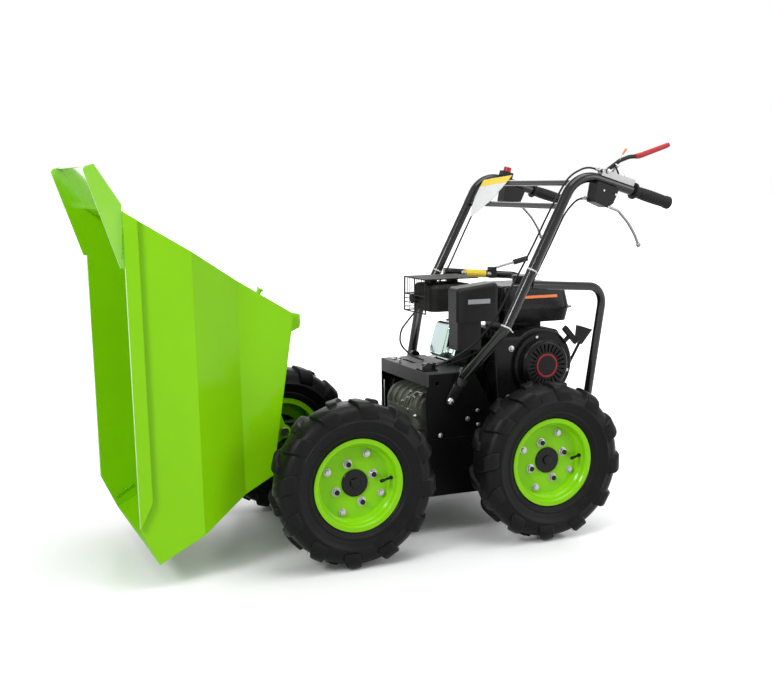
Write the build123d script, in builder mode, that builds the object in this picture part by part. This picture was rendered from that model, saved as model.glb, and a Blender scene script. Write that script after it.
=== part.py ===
from build123d import *
import os
from math import atan2, cos, degrees, hypot, radians, sin, sqrt, tan

# Walk-behind mini dumper with a tipping skip, parked with the skip tipped forward.
# Millimetres. +X is forward, +Y is the operator's left, +Z is up.
# Until the last section, x = 0 is midway between the axles, y = 0 the midplane, z = 0 the ground.

os.makedirs("parts", exist_ok=True)

# ---- sizes: fits ----
plain_fit = 0.3
bearing_fit = 0.05
moving_gap = 5.0

# ---- sizes: wheels ----
wheel_base = 525.0
track = 566.0
tyre_outer_radius = 204.0
tyre_width = 108.0
lug_height = 10.0
lug_count = 12
lug_width = 34.0
lug_sweep = 24.0
shoulder_drop = 13.0
shoulder_width = 28.0
rim_radius = 101.0
rim_flange_radius = 112.0
rim_width = 74.0
rim_sheet = 3.0
disc_inset = 31.0
disc_sheet = 5.0
hub_flange_radius = 62.0
hub_flange_thickness = 8.0
hub_cap_radius = 33.0
hub_cap_height = 4.0
shaft_radius = 15.0

# ---- sizes: chassis ----
case_overhang = 62.5
case_width = 300.0
case_bottom = 103.0
case_top = 255.0
axle_boss_radius = 34.0
axle_boss_length = 62.0
housing_front = 5.0
housing_rise = 107.0
housing_top_length = 130.0
housing_slope_length = 58.0
plate = 4.0
deck_height = 318.0
deck_rear = -478.0
front_lip = 35.0
side_hole_x = -23.0
side_hole_drop = 28.0
side_hole_radius = 5.5
rail_width = 35.0
rail_top = 275.0
gearbox_axis = (-30.0, 322.0)
gearbox_radius = 48.0

# ---- sizes: skip hinge ----
pivot_x = 387.0
pivot_z = 311.0
tip_angle = 81.0
hinge_tube_radius = 14.0
hinge_pin_radius = 8.0
hinge_ear_inset = 9.0
hinge_ear_thickness = 8.0
hinge_ear_radius = 17.0
hinge_gap = 0.5

# ---- sizes: skip, in its carrying position, from the hinge pivot ----
skip_sheet = 3.0
floor_height = 24.0
floor_rear = -289.0
floor_front = 101.5
skip_rear_top = (-472.9, 468.2)
skip_front_top = (221.7, 347.1)
skip_lip = (302.2, 292.8)
rim_half_width = 258.0
upper_fold_bulge = 2.0
lower_fold_half_width = 182.0
floor_half_width = 170.0
upper_fold_depth = 146.0
lower_fold_depth = 267.0
hem_width = 30.0
hem_gap = 10.0
hem_mitre = 60.0
hood_step = 15.0
hood_rise = (-91.0, 69.5)
hood_edge = 26.0
hood_foot_along = 122.0
hood_foot_height = 9.0
rest_foot_depth = 34.0
rest_foot_inset = 18.0
rest_foot_width = 30.0
striker_y = 100.0
striker_height = 97.0

# ---- sizes: engine, from the crankshaft axis ----
crank_x = -335.0
crank_height = 106.0
crankcase_front = 95.0
crankcase_rear = 85.0
crankcase_top = 85.0
crankcase_left = 88.0
crankcase_right = 82.0
shaft_boss_length = 22.0
cylinder_tilt = 16.0
cylinder_y = 20.0
cylinder_reach = 182.0
fin_start = 98.0
fin_count = 7
fin_pitch = 12.0
fin_thickness = 3.0
head_length = 40.0
head_width = 100.0
head_height = 102.0
rocker_cover_length = 34.0
rocker_cover_width = 88.0
rocker_cover_height = 94.0
fan_housing_radius = 97.0
fan_housing_depth = 46.0
recoil_radius = 84.0
recoil_base = 10.0
recoil_dome_radius = 69.0
recoil_depth = 30.0
recoil_disc_radius = 32.0
slot_count = 26
slot_width = 4.0
slot_inner_radius = 36.0
slot_outer_radius = 56.0
tank_length = 216.0
tank_width = 192.0
tank_centre_x = -348.0
tank_base_rise = 106.0
tank_seam_rise = 143.0
tank_top_rise = 206.0
tank_flange = 8.0
air_box_front = -88.0
air_box_length = 120.0
air_box_left = 140.0
air_box_width = 70.0
air_box_base_rise = 124.0
air_box_front_rise = 211.0
air_box_rear_rise = 224.0
air_box_corner = 15.0
carburettor_length = 68.0
carburettor_width = 60.0
carburettor_height = 74.0
muffler_base_rise = 136.0
muffler_top_rise = 208.0
outlet_rise = 166.0
outlet_radius = 13.0
belt_guard_width = 104.0
belt_guard_side_gap = 7.7
muffler_length = 128.0
muffler_width = 130.0
muffler_centre = (-150.0, -76.0)
exhaust_pipe_radius = 10.0
exhaust_pipe_y = -24.0

# ---- sizes: handles and guards ----
handle_spacing = 510.0
handle_foot_offset = 15.0
handle_tube_radius = 13.0
handle_foot_x = -92.0
handle_foot_drop = 13.0
handle_knee = (-158.0, 536.0)
foot_bolt_x = -57.0
foot_bolt_drop = 75.0
foot_tab_radius = 12.0
foot_tab_thickness = 6.0
handle_top = (-364.0, 928.0)
grip_start = (-532.0, 878.0)
handle_bend = 75.0
grip_radius = 16.5
grip_length = 118.0
crossbar_radius = 8.0
crossbar_places = ((-324.0, 842.0), (-362.0, 900.0))
hoop_radius = 11.0
hoop_start = (-236.0, 648.0)
hoop_corner = (-486.0, 628.0)
hoop_foot_x = -458.0
hoop_foot_drop = 18.0
hoop_splay = 37.0
hoop_foot_offset = 13.0
hoop_bend = 52.0
cable_radius = 2.5
lever_radius = 5.5
lever_pivot = (-449.0, 928.0)
# distance behind and above the pivot
lever_bends = ((0.0, 0.0), (42.0, 27.0), (70.0, 36.0), (100.0, 38.0), (192.0, 67.0))
lever_bend_radius = 30.0
bracket_start = 66.0
bracket_length = 102.0
bracket_depth = 17.0
bracket_width = 22.0
control_box_length = 68.0
control_box_width = 38.0
control_box_depth = 56.0

# ---- sizes that follow from those above ----
axle_z = tyre_outer_radius
side_y = case_width / 2
case_length = wheel_base + 2 * case_overhang
handle_y = handle_spacing / 2
handle_foot_y = side_y + handle_foot_offset
hoop_foot_y = side_y + hoop_foot_offset
hoop_corner_y = hoop_foot_y + hoop_splay
hinge_ear_y = side_y - hinge_ear_inset
upper_fold_half_width = rim_half_width + upper_fold_bulge
crank_z = deck_height + crank_height
housing_top = deck_height + housing_rise
side_hole = (side_hole_x, housing_top - side_hole_drop)
handle_foot = (handle_foot_x, housing_top - handle_foot_drop)
foot_bolt = (foot_bolt_x, housing_top - foot_bolt_drop)
hoop_foot = (hoop_foot_x, deck_height - hoop_foot_drop)
rest_foot_y = side_y - rest_foot_inset
tank_bottom = crank_z + tank_base_rise
tank_seam = crank_z + tank_seam_rise
tank_top = crank_z + tank_top_rise
air_box_bottom = crank_z + air_box_base_rise
air_box_front_top = crank_z + air_box_front_rise
air_box_rear_top = crank_z + air_box_rear_rise
muffler_bottom = crank_z + muffler_base_rise
muffler_top = crank_z + muffler_top_rise

pieces = {}


def keep(part, name):
    """Label a finished piece and put it on the list to be written."""
    part.label = name
    pieces[name] = part


def side_plane(y, side=1):
    """Plane of a side drawing at a distance from the midplane, facing outwards from it."""
    return Plane(origin=(0, side * y, 0), x_dir=(1, 0, 0), z_dir=(0, -1, 0))


# ---------------------------------------------------------------- wheels
# One wheel is made on the Y axis with its outer side towards +Y, then placed four times.

def make_tyre():
    """Low-pressure lugged tyre: one carcass of revolution and two rows of chevron bars."""
    carcass_radius = tyre_outer_radius - lug_height
    half = tyre_width / 2
    bead = rim_width / 2 - rim_sheet - plain_fit
    section = [
        (rim_radius + plain_fit, bead),
        (rim_flange_radius + 2, bead),
        (rim_flange_radius + 22, half - 4),
        (carcass_radius - 24, half - 4),
        (carcass_radius, half - 25),
    ]
    with BuildPart() as tyre:
        with BuildSketch(Plane.XY):
            with BuildLine():
                Polyline(*section, *[(r, -y) for r, y in reversed(section)], close=True)
            make_face()
        revolve(axis=Axis.Y)
        lug_root = carcass_radius - 22
        lug_reach = lug_width / 2 + lug_sweep / 3
        lug_top = sqrt(tyre_outer_radius**2 - lug_reach**2)
        pitch = 360 / lug_count
        for side in (1, -1):
            turns = [(k + (side < 0) / 2) * pitch for k in range(lug_count)]
            planes = [
                Plane(origin=(0, 0, 0), x_dir=(0, 1, 0), z_dir=(cos(radians(a)), 0, sin(radians(a))))
                for a in turns
            ]
            with BuildSketch(*[plane.offset(lug_root) for plane in planes]):
                with BuildLine():
                    Polyline(
                        (side * -3, -lug_width / 2),
                        (side * 26, -lug_width / 2 + lug_sweep / 3),
                        (side * half, -lug_width / 2 + lug_sweep),
                        (side * half, lug_width / 2 + lug_sweep),
                        (side * 22, lug_width / 2 + lug_sweep / 3),
                        (side * -3, lug_width / 2),
                        close=True,
                    )
                make_face()
            extrude(amount=lug_top - lug_root)
        for side in (1, -1):
            with BuildSketch(Plane.XY):
                with BuildLine():
                    Polyline(
                        (tyre_outer_radius, side * (half - shoulder_width)),
                        (tyre_outer_radius - shoulder_drop, side * half),
                        (tyre_outer_radius - shoulder_drop, side * (half + 5)),
                        (tyre_outer_radius + 5, side * (half + 5)),
                        (tyre_outer_radius + 5, side * (half - shoulder_width)),
                        close=True,
                    )
                make_face()
            revolve(axis=Axis.Y, mode=Mode.SUBTRACT)
    return tyre.part


def make_rim():
    """Pressed rim: two flanges, a barrel and a stepped disc with a hole for the shaft."""
    half = rim_width / 2
    disc_y = half - disc_inset
    barrel = rim_radius - rim_sheet
    with BuildPart() as rim:
        with BuildSketch(Plane.XY):
            with BuildLine():
                Polyline(
                    (rim_flange_radius, half),
                    (rim_flange_radius, half - rim_sheet),
                    (rim_radius, half - rim_sheet),
                    (rim_radius, -half + rim_sheet),
                    (rim_flange_radius, -half + rim_sheet),
                    (rim_flange_radius, -half),
                    (barrel, -half),
                    (barrel, disc_y + 2),
                    (barrel - 12, disc_y - disc_sheet),
                    (shaft_radius + plain_fit, disc_y - disc_sheet),
                    (shaft_radius + plain_fit, disc_y),
                    (barrel - 12, disc_y),
                    (barrel - 8, disc_y + 7),
                    (barrel - 4, disc_y + 9),
                    (barrel, disc_y + 14),
                    (barrel, half - 4),
                    (rim_radius, half),
                    close=True,
                )
            make_face()
        revolve(axis=Axis.Y)
    return rim.part


def make_hub():
    """Drive hub: flange behind the disc, shaft into the axle boss, cap outside the disc."""
    disc_y = rim_width / 2 - disc_inset
    flange_y = disc_y - disc_sheet
    shaft_end = -(track / 2 - side_y - 6)
    with BuildPart() as hub:
        with BuildSketch(Plane.XY):
            with BuildLine():
                Polyline(
                    (0, disc_y + hub_cap_height + 3),
                    (shaft_radius - 4, disc_y + hub_cap_height + 3),
                    (shaft_radius - 4, disc_y + hub_cap_height),
                    (hub_cap_radius - 1, disc_y + hub_cap_height),
                    (hub_cap_radius, disc_y + hub_cap_height - 1),
                    (hub_cap_radius, disc_y),
                    (shaft_radius, disc_y),
                    (shaft_radius, flange_y),
                    (hub_flange_radius, flange_y),
                    (hub_flange_radius, flange_y - hub_flange_thickness),
                    (2 * shaft_radius, flange_y - hub_flange_thickness),
                    (2 * shaft_radius - 4, flange_y - 3 * hub_flange_thickness),
                    (shaft_radius, flange_y - 3 * hub_flange_thickness),
                    (shaft_radius, shaft_end),
                    (0, shaft_end),
                    close=True,
                )
            make_face()
        revolve(axis=Axis.Y)
    return hub.part


tyre_blank = make_tyre()
rim_blank = make_rim()
hub_blank = make_hub()

# name, axle x, side
wheel_places = [
    ("front_left", wheel_base / 2, 1),
    ("front_right", wheel_base / 2, -1),
    ("rear_left", -wheel_base / 2, 1),
    ("rear_right", -wheel_base / 2, -1),
]
for place, axle_x, side in wheel_places:
    for kind, blank in (("tyre", tyre_blank), ("rim", rim_blank), ("hub", hub_blank)):
        piece = blank if side > 0 else mirror(blank, about=Plane.XZ)
        keep(piece.moved(Location((axle_x, side * track / 2, axle_z))), f"{kind}_{place}")


# ---------------------------------------------------------------- chassis

def make_drive_case():
    """Closed drive case with four round axle bosses, each bored for a wheel shaft."""
    with BuildPart() as case:
        with BuildSketch(Plane.XY.offset(case_bottom)):
            Rectangle(case_length, case_width)
        extrude(amount=case_top - case_bottom)
        fillet(case.edges().filter_by(Axis.Y).group_by(Axis.Z)[0], radius=20)
        chamfer(case.faces().sort_by(Axis.Z)[-1].edges(), length=2)
        for side in (1, -1):
            face = Plane(origin=(0, side * side_y, axle_z), x_dir=(1, 0, 0), z_dir=(0, side, 0))
            with BuildSketch(face):
                with Locations((wheel_base / 2, 0), (-wheel_base / 2, 0)):
                    Circle(axle_boss_radius)
            extrude(amount=axle_boss_length)
            with BuildSketch(face.offset(axle_boss_length)):
                with Locations((wheel_base / 2, 0), (-wheel_base / 2, 0)):
                    Circle(shaft_radius + bearing_fit)
            extrude(amount=-(axle_boss_length - 5), mode=Mode.SUBTRACT)
    return case.part


deck_front = housing_front - housing_top_length - housing_slope_length


def make_housing_top():
    """Folded top sheet of the housing, with its front lip and two slots for the cables."""
    with BuildPart() as top:
        with BuildSketch(Plane.XY.offset(housing_top)):
            with Locations((housing_front - housing_top_length / 2, 0)):
                Rectangle(housing_top_length, case_width)
            with Locations((housing_front - 45, 62), (housing_front - 45, -62)):
                SlotOverall(74, 12, rotation=90, mode=Mode.SUBTRACT)
        extrude(amount=-plate)
        with BuildSketch(Plane.YZ.offset(housing_front)):
            with Locations((0, housing_top - front_lip / 2)):
                Rectangle(case_width, front_lip)
        extrude(amount=-plate)
    return top.part


def make_deck():
    """Deck sheet that carries the engine, folded down at the rear."""
    with BuildPart() as deck:
        with BuildSketch(Plane.XY.offset(deck_height)):
            with Locations(((deck_front + deck_rear) / 2, 0)):
                Rectangle(deck_front - deck_rear, case_width)
        extrude(amount=-plate)
        with BuildSketch(Plane.YZ.offset(deck_rear)):
            with Locations((0, (deck_height + case_top) / 2)):
                Rectangle(case_width, deck_height - case_top)
        extrude(amount=plate)
    return deck.part


def make_housing_side(side, top, deck):
    """Side plate of the housing and deck, folded inwards at its front edge."""
    with BuildPart() as plate_side:
        with BuildSketch(side_plane(side_y, side)):
            with BuildLine():
                Polyline(
                    (housing_front, case_top),
                    (housing_front, housing_top),
                    (housing_front - housing_top_length, housing_top),
                    (deck_front, deck_height),
                    (deck_rear, deck_height),
                    (deck_rear, case_top),
                    close=True,
                )
            make_face()
            with Locations(side_hole):
                Circle(side_hole_radius, mode=Mode.SUBTRACT)
        extrude(amount=side * plate)
        with BuildSketch(Plane.YZ.offset(housing_front - plate)):
            with Locations((side * (side_y - 8), (housing_top + case_top) / 2 - 6)):
                Rectangle(16, 68)
        extrude(amount=-plate)
        add(top, mode=Mode.SUBTRACT)
        add(deck, mode=Mode.SUBTRACT)
    return plate_side.part


def make_gearbox():
    """Cast gearbox: a foot on the drive case under a ribbed barrel across the machine."""
    axis_x, axis_z = gearbox_axis
    left, right = 100.0, -80.0
    with BuildPart() as box:
        with BuildSketch(Plane.XY.offset(case_top)):
            with Locations((axis_x, (left + right) / 2)):
                RectangleRounded(2 * gearbox_radius + 10, left - right, 20)
        extrude(amount=axis_z - case_top)
        with BuildSketch(side_plane(left)):
            with Locations(gearbox_axis):
                Circle(gearbox_radius)
        extrude(amount=left - right)
        for k in range(5):
            with BuildSketch(side_plane(left - 22 - 34 * k)):
                with Locations(gearbox_axis):
                    Circle(gearbox_radius + 5)
            extrude(amount=5)
        with BuildSketch(side_plane(left + 7)):
            with Locations(gearbox_axis):
                Circle(gearbox_radius - 12)
        extrude(amount=8)
    return box.part


def make_front_frame():
    """Two box rails on the drive case that carry the hinge tube and the skip's rest blocks."""
    rail_y = side_y - rail_width / 2
    rail_rear = housing_front + plain_fit
    rail_front = pivot_x - 30
    tube_half = hinge_ear_y - hinge_ear_thickness / 2 - hinge_gap
    rest_top = pivot_z + floor_height - rest_foot_depth - moving_gap
    rest_x = pivot_x + floor_rear + 32
    with BuildPart() as frame:
        with BuildSketch(Plane.XY.offset(case_top)):
            for side in (1, -1):
                with Locations(((rail_front + rail_rear) / 2, side * rail_y)):
                    Rectangle(rail_front - rail_rear, rail_width)
            with Locations((rail_front - 40, 0)):
                Rectangle(30, 2 * rail_y)
        extrude(amount=rail_top - case_top)
        with BuildSketch(Plane.XY.offset(rail_top)):
            for side in (1, -1):
                with Locations((rest_x, side * (rest_foot_y - rest_foot_width / 2 + 4))):
                    Rectangle(40, 24)
        extrude(amount=rest_top - rail_top)
        for side in (1, -1):
            with BuildSketch(side_plane(side_y - rail_width + 6, side)):
                with BuildLine():
                    Polyline(
                        (pivot_x - 90, case_top),
                        (pivot_x - 20, case_top),
                        (pivot_x + 12, pivot_z - 16),
                        (pivot_x + 12, pivot_z + 8),
                        (pivot_x - 12, pivot_z + 8),
                        (pivot_x - 60, rail_top),
                        (pivot_x - 90, rail_top),
                        close=True,
                    )
                make_face()
            extrude(amount=side * 8)
        with BuildSketch(side_plane(tube_half)):
            with Locations((pivot_x, pivot_z)):
                Circle(hinge_tube_radius)
        extrude(amount=2 * tube_half)
        with BuildSketch(side_plane(tube_half)):
            with Locations((pivot_x, pivot_z)):
                Circle(hinge_pin_radius + bearing_fit)
        extrude(amount=2 * tube_half, mode=Mode.SUBTRACT)
    return frame.part


def make_hinge_pin():
    """Through bolt of the skip hinge, with a head at each end."""
    reach = hinge_ear_y + hinge_ear_thickness / 2 + hinge_gap
    with BuildPart() as pin:
        with BuildSketch(side_plane(reach)):
            with Locations((pivot_x, pivot_z)):
                Circle(hinge_pin_radius)
        extrude(amount=2 * reach)
        for side in (1, -1):
            with BuildSketch(side_plane(reach, side)):
                with Locations((pivot_x, pivot_z)):
                    RegularPolygon(12, 6)
            extrude(amount=-side * 7)
    return pin.part


def make_tip_catch():
    """Catch on the housing's top edge that holds the skip's striker when it is down."""
    with BuildPart() as catch:
        with BuildSketch(Plane.XY.offset(housing_top)):
            with Locations((housing_front - 22, striker_y)):
                Rectangle(40, 46)
        extrude(amount=4)
        with BuildSketch(side_plane(striker_y + 16)):
            with BuildLine():
                Polyline(
                    (housing_front - 38, housing_top + 4),
                    (housing_front - 38, housing_top + 16),
                    (housing_front - 20, housing_top + 22),
                    (housing_front - 3, housing_top + 12),
                    (housing_front - 3, housing_top + 4),
                    close=True,
                )
            make_face()
        extrude(amount=5)
        with BuildSketch(side_plane(striker_y + 16)):
            with Locations((housing_front - 20, housing_top + 12)):
                Circle(5)
        extrude(amount=32)
        with BuildSketch(Plane.YZ.offset(housing_front - 36)):
            with Locations((striker_y + 19, housing_top + 11)):
                Rectangle(14, 22)
        extrude(amount=3)
    return catch.part


keep(make_drive_case(), "drive_case")
keep(make_housing_top(), "gearbox_housing")
keep(make_deck(), "engine_deck")
for side, word in ((1, "left"), (-1, "right")):
    plate_side = make_housing_side(side, pieces["gearbox_housing"], pieces["engine_deck"])
    keep(plate_side, f"housing_side_{word}")
keep(make_gearbox(), "gearbox")
keep(make_front_frame(), "front_frame")
keep(make_hinge_pin(), "hinge_pin")
keep(make_tip_catch(), "tip_catch")


# ---------------------------------------------------------------- skip
# The skip is drawn in its carrying position and tipped about the hinge at the end.

hinge_axis = Axis((pivot_x, 0, pivot_z), (0, 1, 0))
skip_plane = Plane(origin=(pivot_x, 0, pivot_z), x_dir=(1, 0, 0), z_dir=(0, -1, 0))
rim_run = (skip_front_top[0] - skip_rear_top[0], skip_front_top[1] - skip_rear_top[1])
rim_length = hypot(*rim_run)
rim_slope = -degrees(atan2(rim_run[1], rim_run[0]))
rear_run = (floor_rear - skip_rear_top[0], floor_height - skip_rear_top[1])
rear_lean = 90 - rim_slope - degrees(atan2(rear_run[0], -rear_run[1]))
rim_plane = Plane(
    origin=(pivot_x + skip_rear_top[0], 0, pivot_z + skip_rear_top[1]),
    x_dir=(0, 1, 0),
    z_dir=(cos(radians(rim_slope)), 0, -sin(radians(rim_slope))),
)


def rim_point(along, below=0.0):
    """Point of the side drawing, measured forward along the rim from its rear end."""
    c, s = cos(radians(rim_slope)), sin(radians(rim_slope))
    return (skip_rear_top[0] + along * c - below * s, skip_rear_top[1] - along * s - below * c)


def beyond(start, end, extra):
    """Point past end on the line from start, for walls that run on above the rim."""
    return (end[0] + (end[0] - start[0]) * extra, end[1] + (end[1] - start[1]) * extra)


def make_side_outline():
    """Flat side outline of the whole skip, closed along the rim."""
    with BuildSketch(skip_plane) as outline:
        with BuildLine():
            Polyline(
                skip_rear_top,
                (floor_rear, floor_height),
                (floor_front, floor_height),
                skip_lip,
                skip_front_top,
                close=True,
            )
        make_face()
    return outline.sketch


def make_inner_outline():
    """Side outline inside the walls, running on above the rim."""
    with BuildSketch(skip_plane) as outline:
        with BuildLine():
            Polyline(
                beyond((floor_rear, floor_height), skip_rear_top, 0.4),
                (floor_rear, floor_height),
                (floor_front, floor_height),
                beyond((floor_front, floor_height), skip_lip, 0.9),
                close=True,
            )
        make_face()
        offset(amount=-skip_sheet, kind=Kind.INTERSECTION)
    return outline.sketch


def make_cross_outline(inset):
    """Folded cross-section of the skip, square to its folds."""
    with BuildSketch(rim_plane.offset(-200)) as outline:
        with BuildLine():
            Polyline(
                (rim_half_width, 60),
                (rim_half_width, 0),
                (upper_fold_half_width, -upper_fold_depth),
                (lower_fold_half_width, -lower_fold_depth),
                (floor_half_width, -lower_fold_depth - 200),
                (-floor_half_width, -lower_fold_depth - 200),
                (-lower_fold_half_width, -lower_fold_depth),
                (-upper_fold_half_width, -upper_fold_depth),
                (-rim_half_width, 0),
                (-rim_half_width, 60),
                close=True,
            )
        make_face()
        if inset:
            offset(amount=-inset, kind=Kind.INTERSECTION)
    return outline.sketch


side_outline = make_side_outline()
inner_outline = make_inner_outline()
cross_outline = make_cross_outline(0)
inner_cross_outline = make_cross_outline(skip_sheet)


def make_skip_shell():
    """All skip walls at their true thickness, before they are split into sheets."""
    with BuildPart() as room:
        extrude(inner_outline, amount=400, both=True)
        extrude(inner_cross_outline, amount=1500, both=True, mode=Mode.INTERSECT)
    with BuildPart() as shell:
        extrude(side_outline, amount=400, both=True)
        extrude(cross_outline, amount=1500, both=True, mode=Mode.INTERSECT)
        add(room.part, mode=Mode.SUBTRACT)
    return shell.part


skip_shell = make_skip_shell()


def make_skip_trough():
    """Rear wall, floor and front wall in one folded sheet."""
    with BuildPart() as trough:
        add(skip_shell)
        extrude(inner_outline, amount=400, both=True, mode=Mode.SUBTRACT)
    return trough.part


def make_skip_sides():
    """The two side sheets, each folded twice, with a hem folded outwards along the rim."""
    hem_y = rim_half_width + hem_gap
    hem_back = hem_width / tan(radians(rear_lean))
    with BuildPart() as sides:
        add(skip_shell)
        extrude(inner_outline, amount=400, both=True, mode=Mode.INTERSECT)
        for side in (1, -1):
            with BuildSketch(skip_plane.offset(-side * hem_y)):
                with BuildLine():
                    Polyline(
                        rim_point(0),
                        rim_point(hem_back, hem_width),
                        rim_point(rim_length - hem_mitre, hem_width),
                        rim_point(rim_length),
                        close=True,
                    )
                make_face()
            extrude(amount=side * skip_sheet)
            with BuildSketch(skip_plane.offset(-side * hem_y)):
                with BuildLine():
                    Polyline(
                        rim_point(0),
                        rim_point(skip_sheet / tan(radians(rear_lean)), skip_sheet),
                        rim_point(rim_length - 2 * skip_sheet, skip_sheet),
                        rim_point(rim_length),
                        close=True,
                    )
                make_face()
            extrude(amount=side * hem_gap)
    return sides.part


def make_skip_hood():
    """Guard above the rear wall: a sloping back plate between two gusset plates."""
    low = rim_point(-hood_step)
    top = (skip_rear_top[0] + hood_rise[0], skip_rear_top[1] + hood_rise[1])
    lean = atan2(hood_rise[0], hood_rise[1])
    corner = (top[0] + hood_edge * sin(radians(23.0)), top[1] + hood_edge * cos(radians(23.0)))
    foot = rim_point(hood_foot_along, -hood_foot_height)
    inner = rim_half_width - skip_sheet
    lip = (top[0] + 14 * cos(lean), top[1] - 14 * sin(lean))
    with BuildPart() as hood:
        for side in (1, -1):
            with BuildSketch(skip_plane.offset(-side * rim_half_width)):
                with BuildLine():
                    Polyline(
                        skip_rear_top,
                        low,
                        top,
                        corner,
                        foot,
                        rim_point(hood_foot_along),
                        close=True,
                    )
                make_face()
            extrude(amount=side * skip_sheet)
        fillet(hood.edges().filter_by(Axis.Y).group_by(Axis.Z)[-1], radius=10)
        with BuildSketch(skip_plane.offset(-inner)):
            with BuildLine():
                Polyline(
                    skip_rear_top,
                    low,
                    top,
                    lip,
                    (lip[0] + skip_sheet * sin(lean), lip[1] + 0 - skip_sheet * cos(lean)),
                    (top[0] + skip_sheet * 1.6, top[1] - skip_sheet * 0.4),
                    (low[0] + skip_sheet * 1.3, low[1]),
                    (skip_rear_top[0] + skip_sheet, skip_rear_top[1] + 0.5),
                    close=True,
                )
            make_face()
        extrude(amount=2 * inner)
    return hood.part


def make_skip_hinge():
    """Two gusset ears under the floor that turn on the hinge pin."""
    with BuildPart() as ears:
        for side in (1, -1):
            with BuildSketch(skip_plane.offset(-side * (hinge_ear_y + hinge_ear_thickness / 2))):
                Circle(hinge_ear_radius)
                with BuildLine():
                    Polyline(
                        (-hinge_ear_radius, 0),
                        (hinge_ear_radius, 0),
                        (hinge_ear_radius + 22, floor_height),
                        (-hinge_ear_radius - 45, floor_height),
                        close=True,
                    )
                make_face()
                Circle(hinge_pin_radius + bearing_fit, mode=Mode.SUBTRACT)
            extrude(amount=side * hinge_ear_thickness)
    return ears.part


def make_skip_foot():
    """Two feet under the rear edge of the floor that rest on the blocks of the front frame."""
    with BuildPart() as foot:
        for side in (1, -1):
            with BuildSketch(skip_plane.offset(-side * rest_foot_y)):
                with BuildLine():
                    Polyline(
                        (floor_rear + 2, floor_height),
                        (floor_rear + 2, floor_height - rest_foot_depth + 4),
                        (floor_rear + 22, floor_height - rest_foot_depth),
                        (floor_rear + 34, floor_height - rest_foot_depth),
                        (floor_rear + 56, floor_height),
                        close=True,
                    )
                make_face()
            extrude(amount=side * rest_foot_width)
    return foot.part


def make_skip_striker():
    """Headed stud on the rear wall that the catch on the chassis holds."""
    along = (striker_height - skip_rear_top[1]) / rear_run[1]
    seat = (skip_rear_top[0] + along * rear_run[0], striker_height)
    run = hypot(*rear_run)
    outward = (rear_run[1] / run, 0, -rear_run[0] / run)
    seat_plane = Plane(
        origin=(pivot_x + seat[0], striker_y, pivot_z + seat[1]), x_dir=(0, 1, 0), z_dir=outward
    )
    with BuildPart() as striker:
        with BuildSketch(seat_plane):
            Rectangle(34, 34)
        extrude(amount=4)
        with BuildSketch(seat_plane.offset(4)):
            Circle(6)
        extrude(amount=10)
        with BuildSketch(seat_plane.offset(14)):
            Circle(9)
        extrude(amount=4)
    return striker.part


def tip(part):
    """Turn a skip piece from its carrying position to the tipped one."""
    return part.rotate(hinge_axis, tip_angle)


keep(tip(make_skip_trough()), "skip_trough")
keep(tip(make_skip_sides()), "skip_sides")
keep(tip(make_skip_hood()), "skip_hood")
keep(tip(make_skip_hinge()), "skip_hinge_ears")
keep(tip(make_skip_foot()), "skip_rest_feet")
keep(tip(make_skip_striker()), "skip_striker")


# ---------------------------------------------------------------- engine

bore_plane = Plane(
    origin=(crank_x, 0, crank_z),
    x_dir=(0, 1, 0),
    z_dir=(cos(radians(cylinder_tilt)), 0, sin(radians(cylinder_tilt))),
)


def make_engine_block():
    """Crankcase on its foot, with the finned cylinder and its head sloping forwards."""
    centre_x = crank_x + (crankcase_front - crankcase_rear) / 2
    height = crankcase_top + crank_height - 1
    with BuildPart() as block:
        with BuildSketch(side_plane(crankcase_left)):
            with Locations((centre_x, crank_z + crankcase_top - height / 2)):
                RectangleRounded(crankcase_front + crankcase_rear, height, 20)
        extrude(amount=crankcase_left + crankcase_right)
        with BuildSketch(Plane.XY.offset(deck_height)):
            with Locations((centre_x, (crankcase_left - crankcase_right) / 2)):
                Rectangle(190, crankcase_left + crankcase_right - 4)
        extrude(amount=14)
        with BuildSketch(bore_plane.offset(60)):
            with Locations((cylinder_y, 0)):
                RectangleRounded(92, 88, 12)
        extrude(amount=cylinder_reach - 60)
        for k in range(fin_count):
            with BuildSketch(bore_plane.offset(fin_start + k * fin_pitch)):
                with Locations((cylinder_y, 0)):
                    Rectangle(head_width + 8, head_height + 8)
            extrude(amount=fin_thickness)
        with BuildSketch(bore_plane.offset(cylinder_reach)):
            with Locations((cylinder_y, 0)):
                RectangleRounded(head_width, head_height, 6)
        extrude(amount=head_length)
        with BuildSketch(side_plane(-crankcase_right)):
            with Locations((crank_x, crank_z)):
                Circle(34)
        extrude(amount=shaft_boss_length)
    return block.part


def make_rocker_cover():
    """Pressed rocker cover on the end of the cylinder head."""
    with BuildPart() as cover:
        with BuildSketch(bore_plane.offset(cylinder_reach + head_length)):
            with Locations((cylinder_y, 0)):
                RectangleRounded(rocker_cover_width + 8, rocker_cover_height + 8, 16)
        extrude(amount=5)
        with BuildSketch(bore_plane.offset(cylinder_reach + head_length + 5)):
            with Locations((cylinder_y, 0)):
                RectangleRounded(rocker_cover_width, rocker_cover_height, 18)
        extrude(amount=rocker_cover_length - 5)
        far_end = cover.faces().sort_by(Axis(bore_plane.origin, bore_plane.z_dir))[-1]
        fillet(far_end.edges(), radius=9)
    return cover.part


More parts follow.
